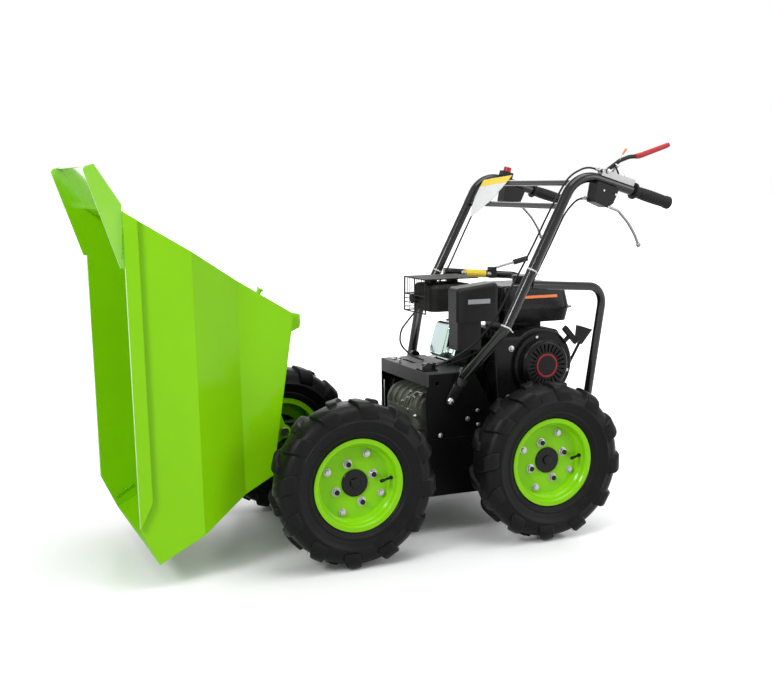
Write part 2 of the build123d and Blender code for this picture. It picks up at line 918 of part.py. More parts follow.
def make_fan_housing():
    """Blower housing on the operator's left: a round shroud with a flat panel in front of it."""
    inner = crankcase_left + plain_fit
    with BuildPart() as housing:
        with BuildSketch(side_plane(inner + fan_housing_depth)):
            with Locations((crank_x, crank_z)):
                Circle(fan_housing_radius)
            with BuildLine():
                Polyline(
                    (crank_x, deck_height + 4),
                    (crank_x + 129, deck_height + 4),
                    (crank_x + 143, crank_z + 77),
                    (crank_x, crank_z + 77),
                    close=True,
                )
            make_face()
        extrude(amount=fan_housing_depth)
        fillet(housing.faces().sort_by(Axis.Y)[-1].edges(), radius=8)
    return housing.part


def make_recoil_cover():
    """Recoil starter cover with a ring of radial air slots round a plain centre disc."""
    inner = crankcase_left + fan_housing_depth + 2 * plain_fit
    face = Plane(
        origin=(crank_x, inner + recoil_depth, crank_z), x_dir=(-1, 0, 0), z_dir=(0, 1, 0)
    )
    slot_length = slot_outer_radius - slot_inner_radius
    with BuildPart() as cover:
        with BuildSketch(face):
            Circle(recoil_dome_radius)
        extrude(amount=-recoil_depth)
        fillet(cover.faces().sort_by(Axis.Y)[-1].edges(), radius=12)
        with BuildSketch(face.offset(-recoil_depth)):
            Circle(recoil_radius)
        extrude(amount=recoil_base)
        with BuildSketch(face):
            with PolarLocations(slot_inner_radius + slot_length / 2, slot_count):
                Rectangle(slot_length, slot_width)
        extrude(amount=-8, mode=Mode.SUBTRACT)
        with BuildSketch(face):
            Circle(recoil_disc_radius)
        extrude(amount=2)
    return cover.part


def make_starter_grip():
    """T-shaped pull grip of the recoil starter, at the rim of its cover."""
    turn = radians(138.0)
    mid_y = crankcase_left + fan_housing_depth + 2 * plain_fit + recoil_depth / 2 - 2
    outward = Plane(
        origin=(crank_x, mid_y, crank_z), x_dir=(0, 1, 0), z_dir=(cos(turn), 0, sin(turn))
    )
    with BuildPart() as grip:
        with BuildSketch(outward.offset(recoil_radius + plain_fit)):
            Circle(6)
        extrude(amount=22)
        with BuildSketch(outward.offset(recoil_radius + plain_fit + 20)):
            SlotOverall(60, 15, rotation=90)
        extrude(amount=13)
    return grip.part


def make_tank():
    """Two-half pressed fuel tank with a seam flange, on two brackets over the crankcase."""
    with BuildPart() as tank:
        with BuildSketch(Plane.XY.offset(tank_seam)):
            with Locations((tank_centre_x, 0)):
                RectangleRounded(tank_length, tank_width, 30)
        extrude(amount=tank_top - tank_seam, taper=13)
        with BuildSketch(Plane.XY.offset(tank_seam)):
            with Locations((tank_centre_x, 0)):
                RectangleRounded(tank_length, tank_width, 30)
        extrude(amount=-(tank_seam - tank_bottom), taper=14)
        with BuildSketch(Plane.XY.offset(tank_seam - 1.5)):
            with Locations((tank_centre_x, 0)):
                RectangleRounded(tank_length + 2 * tank_flange, tank_width + 2 * tank_flange, 36)
        extrude(amount=3)
        fillet(tank.faces().sort_by(Axis.Z)[-1].edges(), radius=9)
        with BuildSketch(Plane.XY.offset(crank_z + crankcase_top)):
            with Locations((crank_x - 30, 0), (crank_x + 50, 0)):
                Rectangle(26, 120)
        extrude(amount=tank_bottom - crank_z - crankcase_top + 2)
    return tank.part


def make_tank_cap():
    """Screw cap of the fuel tank."""
    with BuildPart() as cap:
        with BuildSketch(Plane.XY.offset(tank_top)):
            with Locations((tank_centre_x - 10, 0)):
                Circle(30)
        extrude(amount=8)
        with BuildSketch(Plane.XY.offset(tank_top + 8)):
            with Locations((tank_centre_x - 10, 0)):
                RegularPolygon(32, 12)
        extrude(amount=12)
    return cap.part


def make_carburettor():
    """Carburettor and its cover, bolted to the side of the cylinder head under the air box."""
    head_side = cylinder_y + head_width / 2 + plain_fit
    body_right = head_side + 2
    centre_x = air_box_front - carburettor_length / 2 - 4
    with BuildPart() as body:
        with BuildSketch(Plane.XY.offset(air_box_bottom)):
            with Locations((centre_x, body_right + carburettor_width / 2)):
                RectangleRounded(carburettor_length, carburettor_width, 6)
        extrude(amount=-carburettor_height)
        with BuildSketch(side_plane(body_right + 1)):
            with Locations((centre_x - 16, air_box_bottom - 48)):
                Circle(15)
        extrude(amount=body_right + 1 - head_side)
    return body.part


def make_air_box():
    """Air cleaner box with a rounded lid that rises towards the rear, over the carburettor."""
    rear = air_box_front - air_box_length
    with BuildPart() as box:
        with BuildSketch(side_plane(air_box_left)):
            with BuildLine():
                Polyline(
                    (air_box_front, air_box_bottom),
                    (air_box_front, air_box_front_top),
                    (rear, air_box_rear_top),
                    (rear, air_box_bottom),
                    close=True,
                )
            make_face()
        extrude(amount=air_box_width)
        fillet(box.edges().filter_by(Axis.Z), radius=air_box_corner)
        fillet(box.faces().sort_by(Axis.Z)[-1].edges(), radius=air_box_corner - 3)
    return box.part


def make_muffler():
    """Muffler box on a flanged pipe from the cylinder head, with its outlet at the front."""
    pipe_foot = bore_plane.offset(cylinder_reach + head_length / 2)
    pipe_seat = head_height / 2 + plain_fit
    seat = Plane(
        origin=pipe_foot.origin + bore_plane.y_dir * pipe_seat + Vector(0, exhaust_pipe_y, 0),
        x_dir=(0, 1, 0),
        z_dir=bore_plane.y_dir,
    )
    with BuildPart() as box:
        with BuildSketch(Plane.XY.offset(muffler_bottom)):
            with Locations(muffler_centre):
                RectangleRounded(muffler_length, muffler_width, 22)
        extrude(amount=muffler_top - muffler_bottom)
        fillet(box.faces().sort_by(Axis.Z)[-1].edges(), radius=12)
        with BuildSketch(seat):
            Rectangle(2 * exhaust_pipe_radius, 36)
        extrude(amount=5)
        with BuildSketch(seat.offset(5)):
            Circle(exhaust_pipe_radius)
        extrude(until=Until.NEXT)
        with BuildSketch(Plane.YZ.offset(muffler_centre[0] + muffler_length / 2 - 1)):
            with Locations((muffler_centre[1] - 36, crank_z + outlet_rise)):
                Circle(outlet_radius)
        extrude(amount=16)
    return box.part


def make_muffler_guard():
    """Guard round the muffler: a folded top plate with bars down its front and far side."""
    front, rear, left, right = -66.0, -226.0, -14.0, -152.0
    top = muffler_top + 14
    low = top - 92
    bar = 3.0
    with BuildPart() as guard:
        with BuildSketch(Plane.XY.offset(top)):
            with Locations(((front + rear) / 2, (left + right) / 2)):
                Rectangle(front - rear, left - right)
        extrude(amount=3)
        with BuildSketch(Plane.XY.offset(low)):
            with Locations(((front + rear) / 2, right + bar / 2), (front - bar / 2, (left + right) / 2)):
                Rectangle(bar, bar)
            with Locations((front - bar / 2, right + bar / 2), (rear + bar / 2, right + bar / 2)):
                Rectangle(bar, bar)
            with Locations((front - bar / 2, left - bar / 2)):
                Rectangle(bar, bar)
        extrude(amount=top - low)
        for z in (low, low + 46):
            with BuildSketch(Plane.XY.offset(z)):
                with Locations(((front + rear) / 2, right + bar / 2)):
                    Rectangle(front - rear, bar)
                with Locations((front - bar / 2, (left + right) / 2)):
                    Rectangle(bar, left - right)
            extrude(amount=bar)
        with BuildSketch(Plane.XY.offset(muffler_top)):
            with Locations((-180, -82), (-115, -82)):
                Rectangle(16, 40)
        extrude(amount=top - muffler_top)
    return guard.part


def make_belt_guard():
    """Sheet guard over the drive belt, from the engine's shaft to the gearbox on the far side."""
    pulley = (gearbox_axis[0] - 32, gearbox_axis[1] + 26)
    run = (pulley[0] - crank_x, pulley[1] - crank_z)
    middle = ((pulley[0] + crank_x) / 2, (pulley[1] + crank_z) / 2)
    inner = crankcase_right + shaft_boss_length + plain_fit
    depth = side_y - plate - belt_guard_side_gap - inner
    with BuildPart() as guard:
        with BuildSketch(side_plane(-inner)):
            with Locations(Location((middle[0], middle[1], 0), (0, 0, degrees(atan2(run[1], run[0]))))):
                SlotOverall(hypot(*run) + belt_guard_width, belt_guard_width)
        extrude(amount=depth)
    return guard.part


def make_rear_lever():
    """Upright lever on the rear of the deck with a wedge-shaped knob."""
    lever_y = 30.0
    foot = (deck_rear + 38, deck_height)
    knob = (deck_rear - 41, deck_height + 134)
    with BuildPart() as lever:
        with BuildLine() as path:
            Line((foot[0], lever_y, foot[1]), (knob[0] - 6, lever_y, knob[1] + 10))
        with BuildSketch(Plane(origin=path.line @ 0, z_dir=path.line % 0)):
            Circle(4)
        sweep(path=path.line)
        split(bisect_by=Plane.XY.offset(deck_height), keep=Keep.TOP)
        with BuildSketch(side_plane(lever_y + 11)):
            with BuildLine():
                Polyline(
                    (knob[0] - 4, knob[1]),
                    (knob[0] - 38, knob[1] + 40),
                    (knob[0] + 2, knob[1] + 53),
                    (knob[0] + 7, knob[1] + 6),
                    close=True,
                )
            make_face()
        extrude(amount=22)
    return lever.part


keep(make_engine_block(), "engine_block")
keep(make_rocker_cover(), "rocker_cover")
keep(make_fan_housing(), "fan_housing")
keep(make_recoil_cover(), "recoil_cover")
keep(make_starter_grip(), "starter_grip")
keep(make_tank(), "fuel_tank")
keep(make_tank_cap(), "tank_cap")
keep(make_carburettor(), "carburettor")
keep(make_air_box(), "air_cleaner")
keep(make_muffler(), "muffler")
keep(make_muffler_guard(), "muffler_guard")
keep(make_belt_guard(), "belt_guard")
keep(make_rear_lever(), "rear_lever")


# ---------------------------------------------------------------- handles

def at_side(point, y, side):
    """Point of a side drawing, set at a distance from the midplane on one side."""
    return (point[0], side * y, point[1])


def bar_point(distance, lift=0.0):
    """Point of the side drawing, measured rearwards along the handle's top run."""
    run = (grip_start[0] - handle_top[0], grip_start[1] - handle_top[1])
    length = hypot(*run)
    unit = (run[0] / length, run[1] / length)
    return (
        handle_top[0] + unit[0] * distance + unit[1] * lift,
        handle_top[1] + unit[1] * distance - unit[0] * lift,
    )


def make_handle(side):
    """One handle tube, splayed out above the housing and bent back at the top."""
    foot_turn = degrees(atan2(handle_knee[1] - handle_foot[1], handle_knee[0] - handle_foot[0]))
    with BuildPart() as handle:
        with BuildLine() as path:
            FilletPolyline(
                at_side(handle_foot, handle_foot_y, side),
                at_side(handle_knee, handle_y, side),
                at_side(handle_top, handle_y, side),
                at_side(grip_start, handle_y, side),
                radius=handle_bend,
            )
        with BuildSketch(Plane(origin=path.line @ 0, z_dir=path.line % 0)):
            Circle(handle_tube_radius)
        sweep(path=path.line)
        with BuildSketch(side_plane(side_y, side)):
            with Locations(Location((handle_foot[0], handle_foot[1], 0), (0, 0, foot_turn))):
                SlotOverall(56, 2 * handle_tube_radius + 2)
        extrude(amount=-side * handle_foot_offset)
        with BuildSketch(side_plane(side_y, side)):
            with Locations(handle_foot):
                Circle(handle_tube_radius)
            with Locations(foot_bolt):
                Circle(foot_tab_radius)
            make_hull()
        extrude(amount=-side * foot_tab_thickness)
    return handle.part


handle_tubes = {side: make_handle(side) for side in (1, -1)}


def make_grip(side):
    """Rubber grip on the end of a handle tube, with a collar at each end."""
    run = (grip_start[0] - handle_top[0], grip_start[1] - handle_top[1])
    direction = (run[0], 0, run[1])
    start = Plane(origin=at_side(grip_start, handle_y, side), z_dir=direction)
    with BuildPart() as grip:
        with BuildSketch(start):
            Circle(grip_radius)
        extrude(amount=grip_length)
        with BuildSketch(start):
            Circle(grip_radius + 5)
        extrude(amount=6)
        add(handle_tubes[side], mode=Mode.SUBTRACT)
    return grip.part


def make_hoop(side):
    """Bent tube guard from the handle tube past the engine down to the side plate."""
    with BuildPart() as hoop:
        with BuildLine() as path:
            FilletPolyline(
                at_side(hoop_start, handle_y - 6, side),
                at_side(hoop_corner, hoop_corner_y, side),
                at_side(hoop_foot, hoop_foot_y, side),
                radius=hoop_bend,
            )
        with BuildSketch(Plane(origin=path.line @ 0, z_dir=path.line % 0)):
            Circle(hoop_radius)
        sweep(path=path.line)
        with BuildSketch(side_plane(side_y, side)):
            with Locations(hoop_foot):
                Circle(hoop_radius + 7)
        extrude(amount=-side * hoop_foot_offset)
        add(handle_tubes[side], mode=Mode.SUBTRACT)
    return hoop.part


def make_crossbars():
    """Two straight bars between the handle tubes."""
    half = handle_y - handle_tube_radius + 3
    with BuildPart() as bars:
        with BuildSketch(side_plane(half)):
            with Locations(*crossbar_places):
                Circle(crossbar_radius)
        extrude(amount=2 * half)
        for side in (1, -1):
            add(handle_tubes[side], mode=Mode.SUBTRACT)
    return bars.part


def make_lever_bracket():
    """Channel on the left handle tube that carries the hand lever, with its lock plate."""
    low = handle_tube_radius - 4
    high = low + bracket_depth
    end = bracket_start + bracket_length
    with BuildPart() as bracket:
        with BuildSketch(side_plane(handle_y + bracket_width / 2)):
            with BuildLine():
                Polyline(
                    bar_point(bracket_start, low),
                    bar_point(bracket_start, high),
                    bar_point(end, high),
                    bar_point(end, low),
                    close=True,
                )
            make_face()
        extrude(amount=bracket_width)
        with BuildSketch(side_plane(handle_y + 5)):
            with BuildLine():
                Polyline(
                    bar_point(100, high),
                    bar_point(106, high + 18),
                    bar_point(118, high + 18),
                    bar_point(140, high),
                    close=True,
                )
            make_face()
        extrude(amount=10)
        add(handle_tubes[1], mode=Mode.SUBTRACT)
    return bracket.part


def make_hand_lever():
    """Cranked hand lever above the left handle tube, pivoted in its bracket."""
    with BuildPart() as lever:
        with BuildLine() as path:
            FilletPolyline(
                *[
                    at_side((lever_pivot[0] - back, lever_pivot[1] + up), handle_y, 1)
                    for back, up in lever_bends
                ],
                radius=lever_bend_radius,
            )
        with BuildSketch(Plane(origin=path.line @ 0, z_dir=path.line % 0)):
            Circle(lever_radius)
        sweep(path=path.line)
        with BuildSketch(side_plane(handle_y + bracket_width / 2)):
            with Locations(lever_pivot):
                Circle(7)
        extrude(amount=bracket_width)
        add(pieces["lever_bracket"], mode=Mode.SUBTRACT)
    return lever.part


def make_control_box(side, start):
    """Tapered lever housing clamped under a handle tube."""
    low = -handle_tube_radius + 4
    end = start + control_box_length
    with BuildPart() as box:
        with BuildSketch(side_plane(handle_y + control_box_width / 2, side)):
            with BuildLine():
                Polyline(
                    bar_point(start, low),
                    bar_point(end, low),
                    bar_point(end - 6, low - control_box_depth + 14),
                    bar_point(end - 20, low - control_box_depth),
                    bar_point(start + 6, low - control_box_depth + 4),
                    close=True,
                )
            make_face()
        extrude(amount=side * control_box_width)
        fillet(box.edges().filter_by(Axis.Y), radius=4)
        add(handle_tubes[side], mode=Mode.SUBTRACT)
    return box.part


def make_brake_lever(side, start, lag):
    """Curved lever that hangs from a control box, with a ball at its tip."""
    root = bar_point(start + control_box_length - 10, -handle_tube_radius - 46)
    points = [(-489, 827), (-519, 797), (-540, 766), (-553, 738)]
    with BuildPart() as lever:
        with BuildLine() as path:
            FilletPolyline(
                at_side(root, handle_y, side),
                *[at_side((x - lag, z), handle_y, side) for x, z in points],
                radius=[12, 90, 90],
            )
        with BuildSketch(Plane(origin=path.line @ 0, z_dir=path.line % 0)):
            Circle(3.5)
        sweep(path=path.line)
        with Locations(path.line @ 1):
            Sphere(6)
        add(control_boxes[side], mode=Mode.SUBTRACT)
    return lever.part


def make_stop_button():
    """Stop switch with a mushroom button on top of the right handle tube."""
    seat = bar_point(78, handle_tube_radius - 3)
    run = (grip_start[0] - handle_top[0], grip_start[1] - handle_top[1])
    up = Plane(origin=at_side(seat, handle_y, -1), x_dir=(0, 1, 0), z_dir=(run[1], 0, -run[0]))
    with BuildPart() as button:
        with BuildSketch(up):
            Rectangle(24, 34)
        extrude(amount=17)
        with BuildSketch(up.offset(17)):
            Circle(11)
        extrude(amount=13)
        add(handle_tubes[-1], mode=Mode.SUBTRACT)
    return button.part


def make_gear_lever():
    """Selector rod with a moulded knob, held on top of the right guard hoop."""
    seat_y = -(hoop_corner_y + 14)
    with BuildPart() as lever:
        with BuildLine() as path:
            Line((-372, seat_y, 652), (-449, seat_y, 669))
        with BuildSketch(Plane(origin=path.line @ 0, z_dir=path.line % 0)):
            Circle(3.5)
        sweep(path=path.line)
        with BuildSketch(Plane(origin=path.line @ 1, z_dir=path.line % 1)):
            Circle(8)
        extrude(amount=44)
        with BuildSketch(Plane.XY.offset(hoop_start[1] - 22)):
            with Locations((-376, seat_y)):
                Rectangle(18, 24)
        extrude(amount=32)
        add(pieces["guard_hoop_right"], mode=Mode.SUBTRACT)
    return lever.part


# side, name, start of its control box along the handle, how much further back its lever hangs
handle_sides = ((1, "left", 54.0, 0.0), (-1, "right", 76.0, 12.0))
control_boxes = {}
for side, word, start, lag in handle_sides:
    control_boxes[side] = make_control_box(side, start)
    keep(handle_tubes[side], f"handle_tube_{word}")
    keep(make_grip(side), f"grip_{word}")
    keep(make_hoop(side), f"guard_hoop_{word}")
    keep(control_boxes[side], f"control_box_{word}")
    keep(make_brake_lever(side, start, lag), f"brake_lever_{word}")
keep(make_crossbars(), "handle_crossbars")
keep(make_lever_bracket(), "lever_bracket")
keep(make_hand_lever(), "hand_lever")
keep(make_stop_button(), "stop_button")
keep(make_gear_lever(), "gear_lever")


# ---------------------------------------------------------------- cables
# Each cable runs from a control down a handle tube, where clips hold it, and on to the housing.

# left hand lever to the skip's catch
cable_catch = [
    (-433, 255, 931), (-392, 254, 940), (-342, 253, 918), (-292, 252, 842), (-240, 249, 742),
    (-187, 240, 645), (-152, 216, 560), (-118, 182, 500), (-76, 148, 462), (-33, 119, 437),
]
# left control box to the gearbox
cable_drive = [
    (-405, 240, 862), (-376, 236, 858), (-344, 233, 826), (-296, 231, 733), (-246, 228, 640),
    (-200, 212, 560), (-168, 180, 505), (-126, 128, 454), (-92, 64, 428.5),
]
# right control box past the muffler to the housing
cable_brake = [
    (-407, -240, 873), (-372, -238, 872), (-338, -236, 840), (-291, -235, 752), (-238, -232, 650),
    (-178, -220, 584), (-104, -186, 532), (-46, -132, 500), (-26, -92, 468), (-44, -58, 440),
    (-74, -40, 427.7),
]


def route_radii(points):
    """Bend radius at each inner point, as large as its two runs allow."""
    spots = [Vector(*point) for point in points]
    radii = []
    for before, here, after in zip(spots, spots[1:], spots[2:]):
        run_in, run_out = here - before, after - here
        shorter = min(run_in.length, run_out.length)
        radii.append(0.45 * shorter / tan(radians(run_in.get_angle(run_out) / 2)))
    return radii


def make_cable(points):
    """Round sheathed cable along its route."""
    with BuildPart() as cable:
        with BuildLine() as path:
            FilletPolyline(*points, radius=route_radii(points))
        with BuildSketch(Plane(origin=path.line @ 0, z_dir=path.line % 0)):
            Circle(cable_radius)
        sweep(path=path.line)
    return cable.part


for name, points in (
    ("cable_catch", cable_catch),
    ("cable_drive", cable_drive),
    ("cable_brake", cable_brake),
):
    keep(make_cable(points), name)
    print(name, "bend radii", [round(radius) for radius in route_radii(points)])


# ---------------------------------------------------------------- finish
# The origin is moved to the ground point under the middle of the whole machine.

corners = [piece.bounding_box() for piece in pieces.values()]
origin_shift = (
    -(min(c.min.X for c in corners) + max(c.max.X for c in corners)) / 2,
    -(min(c.min.Y for c in corners) + max(c.max.Y for c in corners)) / 2,
    -min(c.min.Z for c in corners),
)
for name, piece in pieces.items():
    placed = piece.moved(Location(origin_shift))
    placed.label = name
    export_step(placed, f"parts/{name}.step")
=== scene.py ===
import bmesh
import bpy
from math import cos, pi, radians, sin
from mathutils import Matrix, Vector


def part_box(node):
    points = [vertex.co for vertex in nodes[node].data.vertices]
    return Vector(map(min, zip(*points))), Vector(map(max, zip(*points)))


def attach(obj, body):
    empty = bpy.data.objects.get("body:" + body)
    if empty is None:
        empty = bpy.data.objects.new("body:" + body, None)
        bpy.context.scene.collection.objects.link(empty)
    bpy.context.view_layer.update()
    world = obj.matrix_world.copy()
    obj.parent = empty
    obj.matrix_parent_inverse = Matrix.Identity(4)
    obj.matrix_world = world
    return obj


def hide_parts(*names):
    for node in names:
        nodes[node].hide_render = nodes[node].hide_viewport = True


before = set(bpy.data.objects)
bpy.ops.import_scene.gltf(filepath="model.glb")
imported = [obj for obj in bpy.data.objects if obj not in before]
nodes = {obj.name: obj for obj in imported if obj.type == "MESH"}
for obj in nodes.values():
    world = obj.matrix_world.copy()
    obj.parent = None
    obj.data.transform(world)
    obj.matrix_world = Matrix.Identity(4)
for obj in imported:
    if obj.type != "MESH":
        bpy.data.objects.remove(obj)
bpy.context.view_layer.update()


# ---------------------------------------------------------------- studio
# The machine stands on a plain white studio floor under large soft lamps.
# The floor shows white to the camera and keeps the machine's soft shadow.

render_scene = bpy.context.scene
render_scene.view_settings.view_transform = "Standard"

camera_place = Vector((1.1357, 2.7725, 0.9105))
camera_yaw = radians(23.1)
camera_pitch = radians(8.3)
camera_roll = radians(-0.6)
camera_lens = 54.03

look = Vector((
    -sin(camera_yaw) * cos(camera_pitch),
    -cos(camera_yaw) * cos(camera_pitch),
    -sin(camera_pitch),
))
level_right = Vector((-cos(camera_yaw), sin(camera_yaw), 0.0))
level_up = level_right.cross(look)
camera_right = level_right * cos(camera_roll) + level_up * sin(camera_roll)
camera_up = level_up * cos(camera_roll) - level_right * sin(camera_roll)
camera_data = bpy.data.cameras.new("studio_camera")
camera_data.lens = camera_lens
camera_data.sensor_width = 36.0
camera = bpy.data.objects.new("studio_camera", camera_data)
turn = Matrix((camera_right, camera_up, -look)).transposed().to_4x4()
camera.matrix_world = Matrix.Translation(camera_place) @ turn
render_scene.collection.objects.link(camera)
render_scene.camera = camera


def new_material(name):
    """Node material with its output and one principled shader."""
    material = bpy.data.materials.new(name)
    material.use_nodes = True
    tree = material.node_tree
    return material, tree, tree.nodes["Principled BSDF"]


def add_math(tree, operation, first, second, clamp=False):
    """Math node whose two inputs are sockets or numbers. Returns its output."""
    node = tree.nodes.new("ShaderNodeMath")
    node.operation = operation
    node.use_clamp = clamp
    for socket, value in zip(node.inputs, (first, second)):
        if isinstance(value, float):
            socket.default_value = value
        else:
            tree.links.new(value, socket)
    return node.outputs[0]


def add_range(tree, value, low, high, bottom=0.0, top=1.0, steps="LINEAR"):
    """Map a value from low and high to bottom and top. Returns the node's output."""
    node = tree.nodes.new("ShaderNodeMapRange")
    node.interpolation_type = steps
    node.inputs["From Min"].default_value = low
    node.inputs["From Max"].default_value = high
    node.inputs["To Min"].default_value = bottom
    node.inputs["To Max"].default_value = top
    tree.links.new(value, node.inputs["Value"])
    return node.outputs[0]


def make_floor():
    """Wide white floor that adds its own white only for what the camera sees. Ambient occlusion
    dims that white under and beside the machine, a painted contact shadow.
    """
    floor_size = 40.0
    floor_white = 0.68
    shadow_from, shadow_to = 1.1, 3.2
    glow_near, glow_far = 0.50, 1.0
    mirrored_share = 0.9
    shape = bmesh.new()
    bmesh.ops.create_grid(shape, x_segments=1, y_segments=1, size=floor_size)
    mesh = bpy.data.meshes.new("studio_floor")
    shape.to_mesh(mesh)
    shape.free()
    floor = bpy.data.objects.new("studio_floor", mesh)
    render_scene.collection.objects.link(floor)
    material, tree, shader = new_material("floor_paper")
    shader.inputs["Base Color"].default_value = (floor_white, floor_white, floor_white, 1.0)
    shader.inputs["Roughness"].default_value = 0.30
    shader.inputs["Specular IOR Level"].default_value = 0.40
    path = tree.nodes.new("ShaderNodeLightPath")
    mirrored = add_math(tree, "MULTIPLY", path.outputs["Is Glossy Ray"], mirrored_share)
    seen = add_math(tree, "MAXIMUM", path.outputs["Is Camera Ray"], mirrored)
    place = tree.nodes.new("ShaderNodeTexCoord")
    away = tree.nodes.new("ShaderNodeVectorMath")
    away.operation = "LENGTH"
    tree.links.new(place.outputs["Object"], away.inputs[0])
    rise = add_range(
        tree, away.outputs["Value"], shadow_from, shadow_to, glow_near, glow_far, "SMOOTHSTEP"
    )
    # ambient occlusion darkens the floor's added white under and beside the machine: painted
    # contact shadow
    painted_contact_shade = tree.nodes.new("ShaderNodeAmbientOcclusion")
    painted_contact_shade.samples = 12
    painted_contact_shade.inputs["Distance"].default_value = 0.85
    glow_with_painted_shade = add_math(tree, "MULTIPLY", painted_contact_shade.outputs["AO"], rise)
    glow = add_math(tree, "MULTIPLY", seen, glow_with_painted_shade)
    shader.inputs["Emission Color"].default_value = (1.0, 1.0, 1.0, 1.0)
    tree.links.new(glow, shader.inputs["Emission Strength"])
    mesh.materials.append(material)


make_floor()


def make_world():
    """Dim cool light from all round, which the camera and mirrors see as a white wall."""
    world = bpy.data.worlds.new("studio_world")
    world.use_nodes = True
    tree = world.node_tree
    tree.nodes.clear()
    out = tree.nodes.new("ShaderNodeOutputWorld")
    soft_sky = tree.nodes.new("ShaderNodeBackground")
    soft_sky.inputs["Color"].default_value = (0.93, 0.96, 1.0, 1.0)
    soft_sky.inputs["Strength"].default_value = 0.34
    white_wall = tree.nodes.new("ShaderNodeBackground")
    white_wall.inputs["Color"].default_value = (1.0, 1.0, 1.0, 1.0)
    white_wall.inputs["Strength"].default_value = 1.0
    rays = tree.nodes.new("ShaderNodeLightPath").outputs
    direct = add_math(tree, "MAXIMUM", rays["Is Camera Ray"], rays["Is Transmission Ray"])
    seen = add_math(tree, "MAXIMUM", direct, rays["Is Glossy Ray"])
    wall_mix = tree.nodes.new("ShaderNodeMixShader")
    tree.links.new(seen, wall_mix.inputs[0])
    tree.links.new(soft_sky.outputs[0], wall_mix.inputs[1])
    tree.links.new(white_wall.outputs[0], wall_mix.inputs[2])
    tree.links.new(wall_mix.outputs[0], out.inputs[0])
    render_scene.world = world


make_world()

# name, place, aimed at, width, height, power in watts
lamps = [
    ("key_lamp", (3.9, 2.3, 3.2), (0.1, 0.0, 0.4), 1.2, 1.2, 140.0),
    ("top_lamp", (-0.4, 0.9, 3.4), (0.0, 0.0, 0.3), 2.6, 2.0, 66.0),
    ("fill_lamp", (-2.8, 2.8, 1.8), (-0.2, 0.0, 0.4), 1.6, 2.0, 40.0),
    ("back_lamp", (-1.6, -3.0, 2.2), (0.0, 0.0, 0.5), 2.4, 1.6, 26.0),
]
for name, place, aim, width, height, power in lamps:
    lamp_data = bpy.data.lights.new(name, "AREA")
    lamp_data.shape = "RECTANGLE"
    lamp_data.size = width
    lamp_data.size_y = height
    lamp_data.energy = power
    lamp = bpy.data.objects.new(name, lamp_data)
    lamp.location = place
    beam = Vector(aim) - Vector(place)
    lamp.rotation_mode = "QUATERNION"
    lamp.rotation_quaternion = beam.to_track_quat("-Z", "Y")
    render_scene.collection.objects.link(lamp)

# The drawing's zero point: on the ground, midway between the axles, in the middle.
front_low, front_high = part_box("rim_front_left")
rear_low, rear_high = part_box("rim_rear_left")
wheel_radius = 0.204
zero = Vector((
    (front_low.x + front_high.x + rear_low.x + rear_high.x) / 4,
    0.0,
    (front_low.z + front_high.z) / 2 - wheel_radius,
))


def at(x, y, z):
    """Point of the machine given in millimetres from the drawing's zero point."""
    return zero + Vector((x, y, z)) / 1000


# ---------------------------------------------------------------- tyres
# Soft lugged tyres of black rubber: a round carcass with two rows of thick chevron bars
# that run down over the shoulders. They are pressed on the rims and carry the machine.

wheels = ("front_left", "front_right", "rear_left", "rear_right")
tyre_radius = 0.2022
carcass_radius = 0.1945
tyre_half = 0.054
lug_count = 12
lug_half_width = 0.0180
lug_sweep = 0.024
lug_rounding = 0.0030
lug_lean = 0.006
lug_top_share = 0.86
hair_length = 0.0110
hair_gap = 0.033
hair_splay = 60
# radius and distance from the middle plane, from the bead to the crown
half_section = [
    (0.1015, 0.0335), (0.1135, 0.0340), (0.1150, 0.0372), (0.1180, 0.0392),
    (0.1230, 0.0420), (0.1245, 0.0445), (0.1290, 0.0455), (0.1310, 0.0442),
    (0.1400, 0.0478), (0.1500, 0.0500), (0.1520, 0.0520), (0.1555, 0.0522),
    (0.1570, 0.0502), (0.1680, 0.0490), (0.1790, 0.0450), (0.1880, 0.0370),
    (0.1930, 0.0230), (carcass_radius, 0.0),
]
# share of the tyre's half width, inner and outer radius, sweep share, width share
bar_stations = [
    (-0.03, 0.186, tyre_radius - 0.0004, 0.00, 0.62),
    (0.24, 0.186, tyre_radius, 0.12, 0.80),
    (0.50, 0.184, tyre_radius - 0.0014, 0.36, 0.98),
    (0.72, 0.176, 0.1978, 0.62, 1.15),
    (0.88, 0.164, 0.1905, 0.84, 1.28),
    (0.97, 0.152, 0.1790, 1.00, 1.32),
    (0.965, 0.148, 0.1640, 1.08, 1.15),
]


def start_group(name, inputs, outputs):
    """Empty node group. Returns it, its entry's sockets and its exit's sockets."""
    group = bpy.data.node_groups.new(name, "ShaderNodeTree")
    sides = group.interface
    for socket_name, value in inputs:
        kind = "NodeSocketFloat" if isinstance(value, float) else "NodeSocketColor"
        socket = sides.new_socket(name=socket_name, in_out="INPUT", socket_type=kind)
        socket.default_value = value
    for socket_name, kind in outputs:
        sides.new_socket(name=socket_name, in_out="OUTPUT", socket_type=kind)
    entry = group.nodes.new("NodeGroupInput")
    leave = group.nodes.new("NodeGroupOutput")
    return group, entry.outputs, leave.inputs


def add_noise(tree, place, scale, detail, roughness=0.5):
    """Noise over the object, whose scale is a number or a socket. Returns its factor."""
    node = tree.nodes.new("ShaderNodeTexNoise")
    node.inputs["Detail"].default_value = detail
    node.inputs["Roughness"].default_value = roughness
    tree.links.new(place.outputs["Object"], node.inputs["Vector"])
    if isinstance(scale, float):
        node.inputs["Scale"].default_value = scale
    else:
        tree.links.new(scale, node.inputs["Scale"])
    return node.outputs["Fac"]


def add_blend(tree, factor, first, second):
    """Mix of two colours. Returns its result."""
    node = tree.nodes.new("ShaderNodeMix")
    node.data_type = "RGBA"
    tree.links.new(factor, node.inputs["Factor"])
    tree.links.new(first, node.inputs["A"])
    tree.links.new(second, node.inputs["B"])
    return node.outputs["Result"]


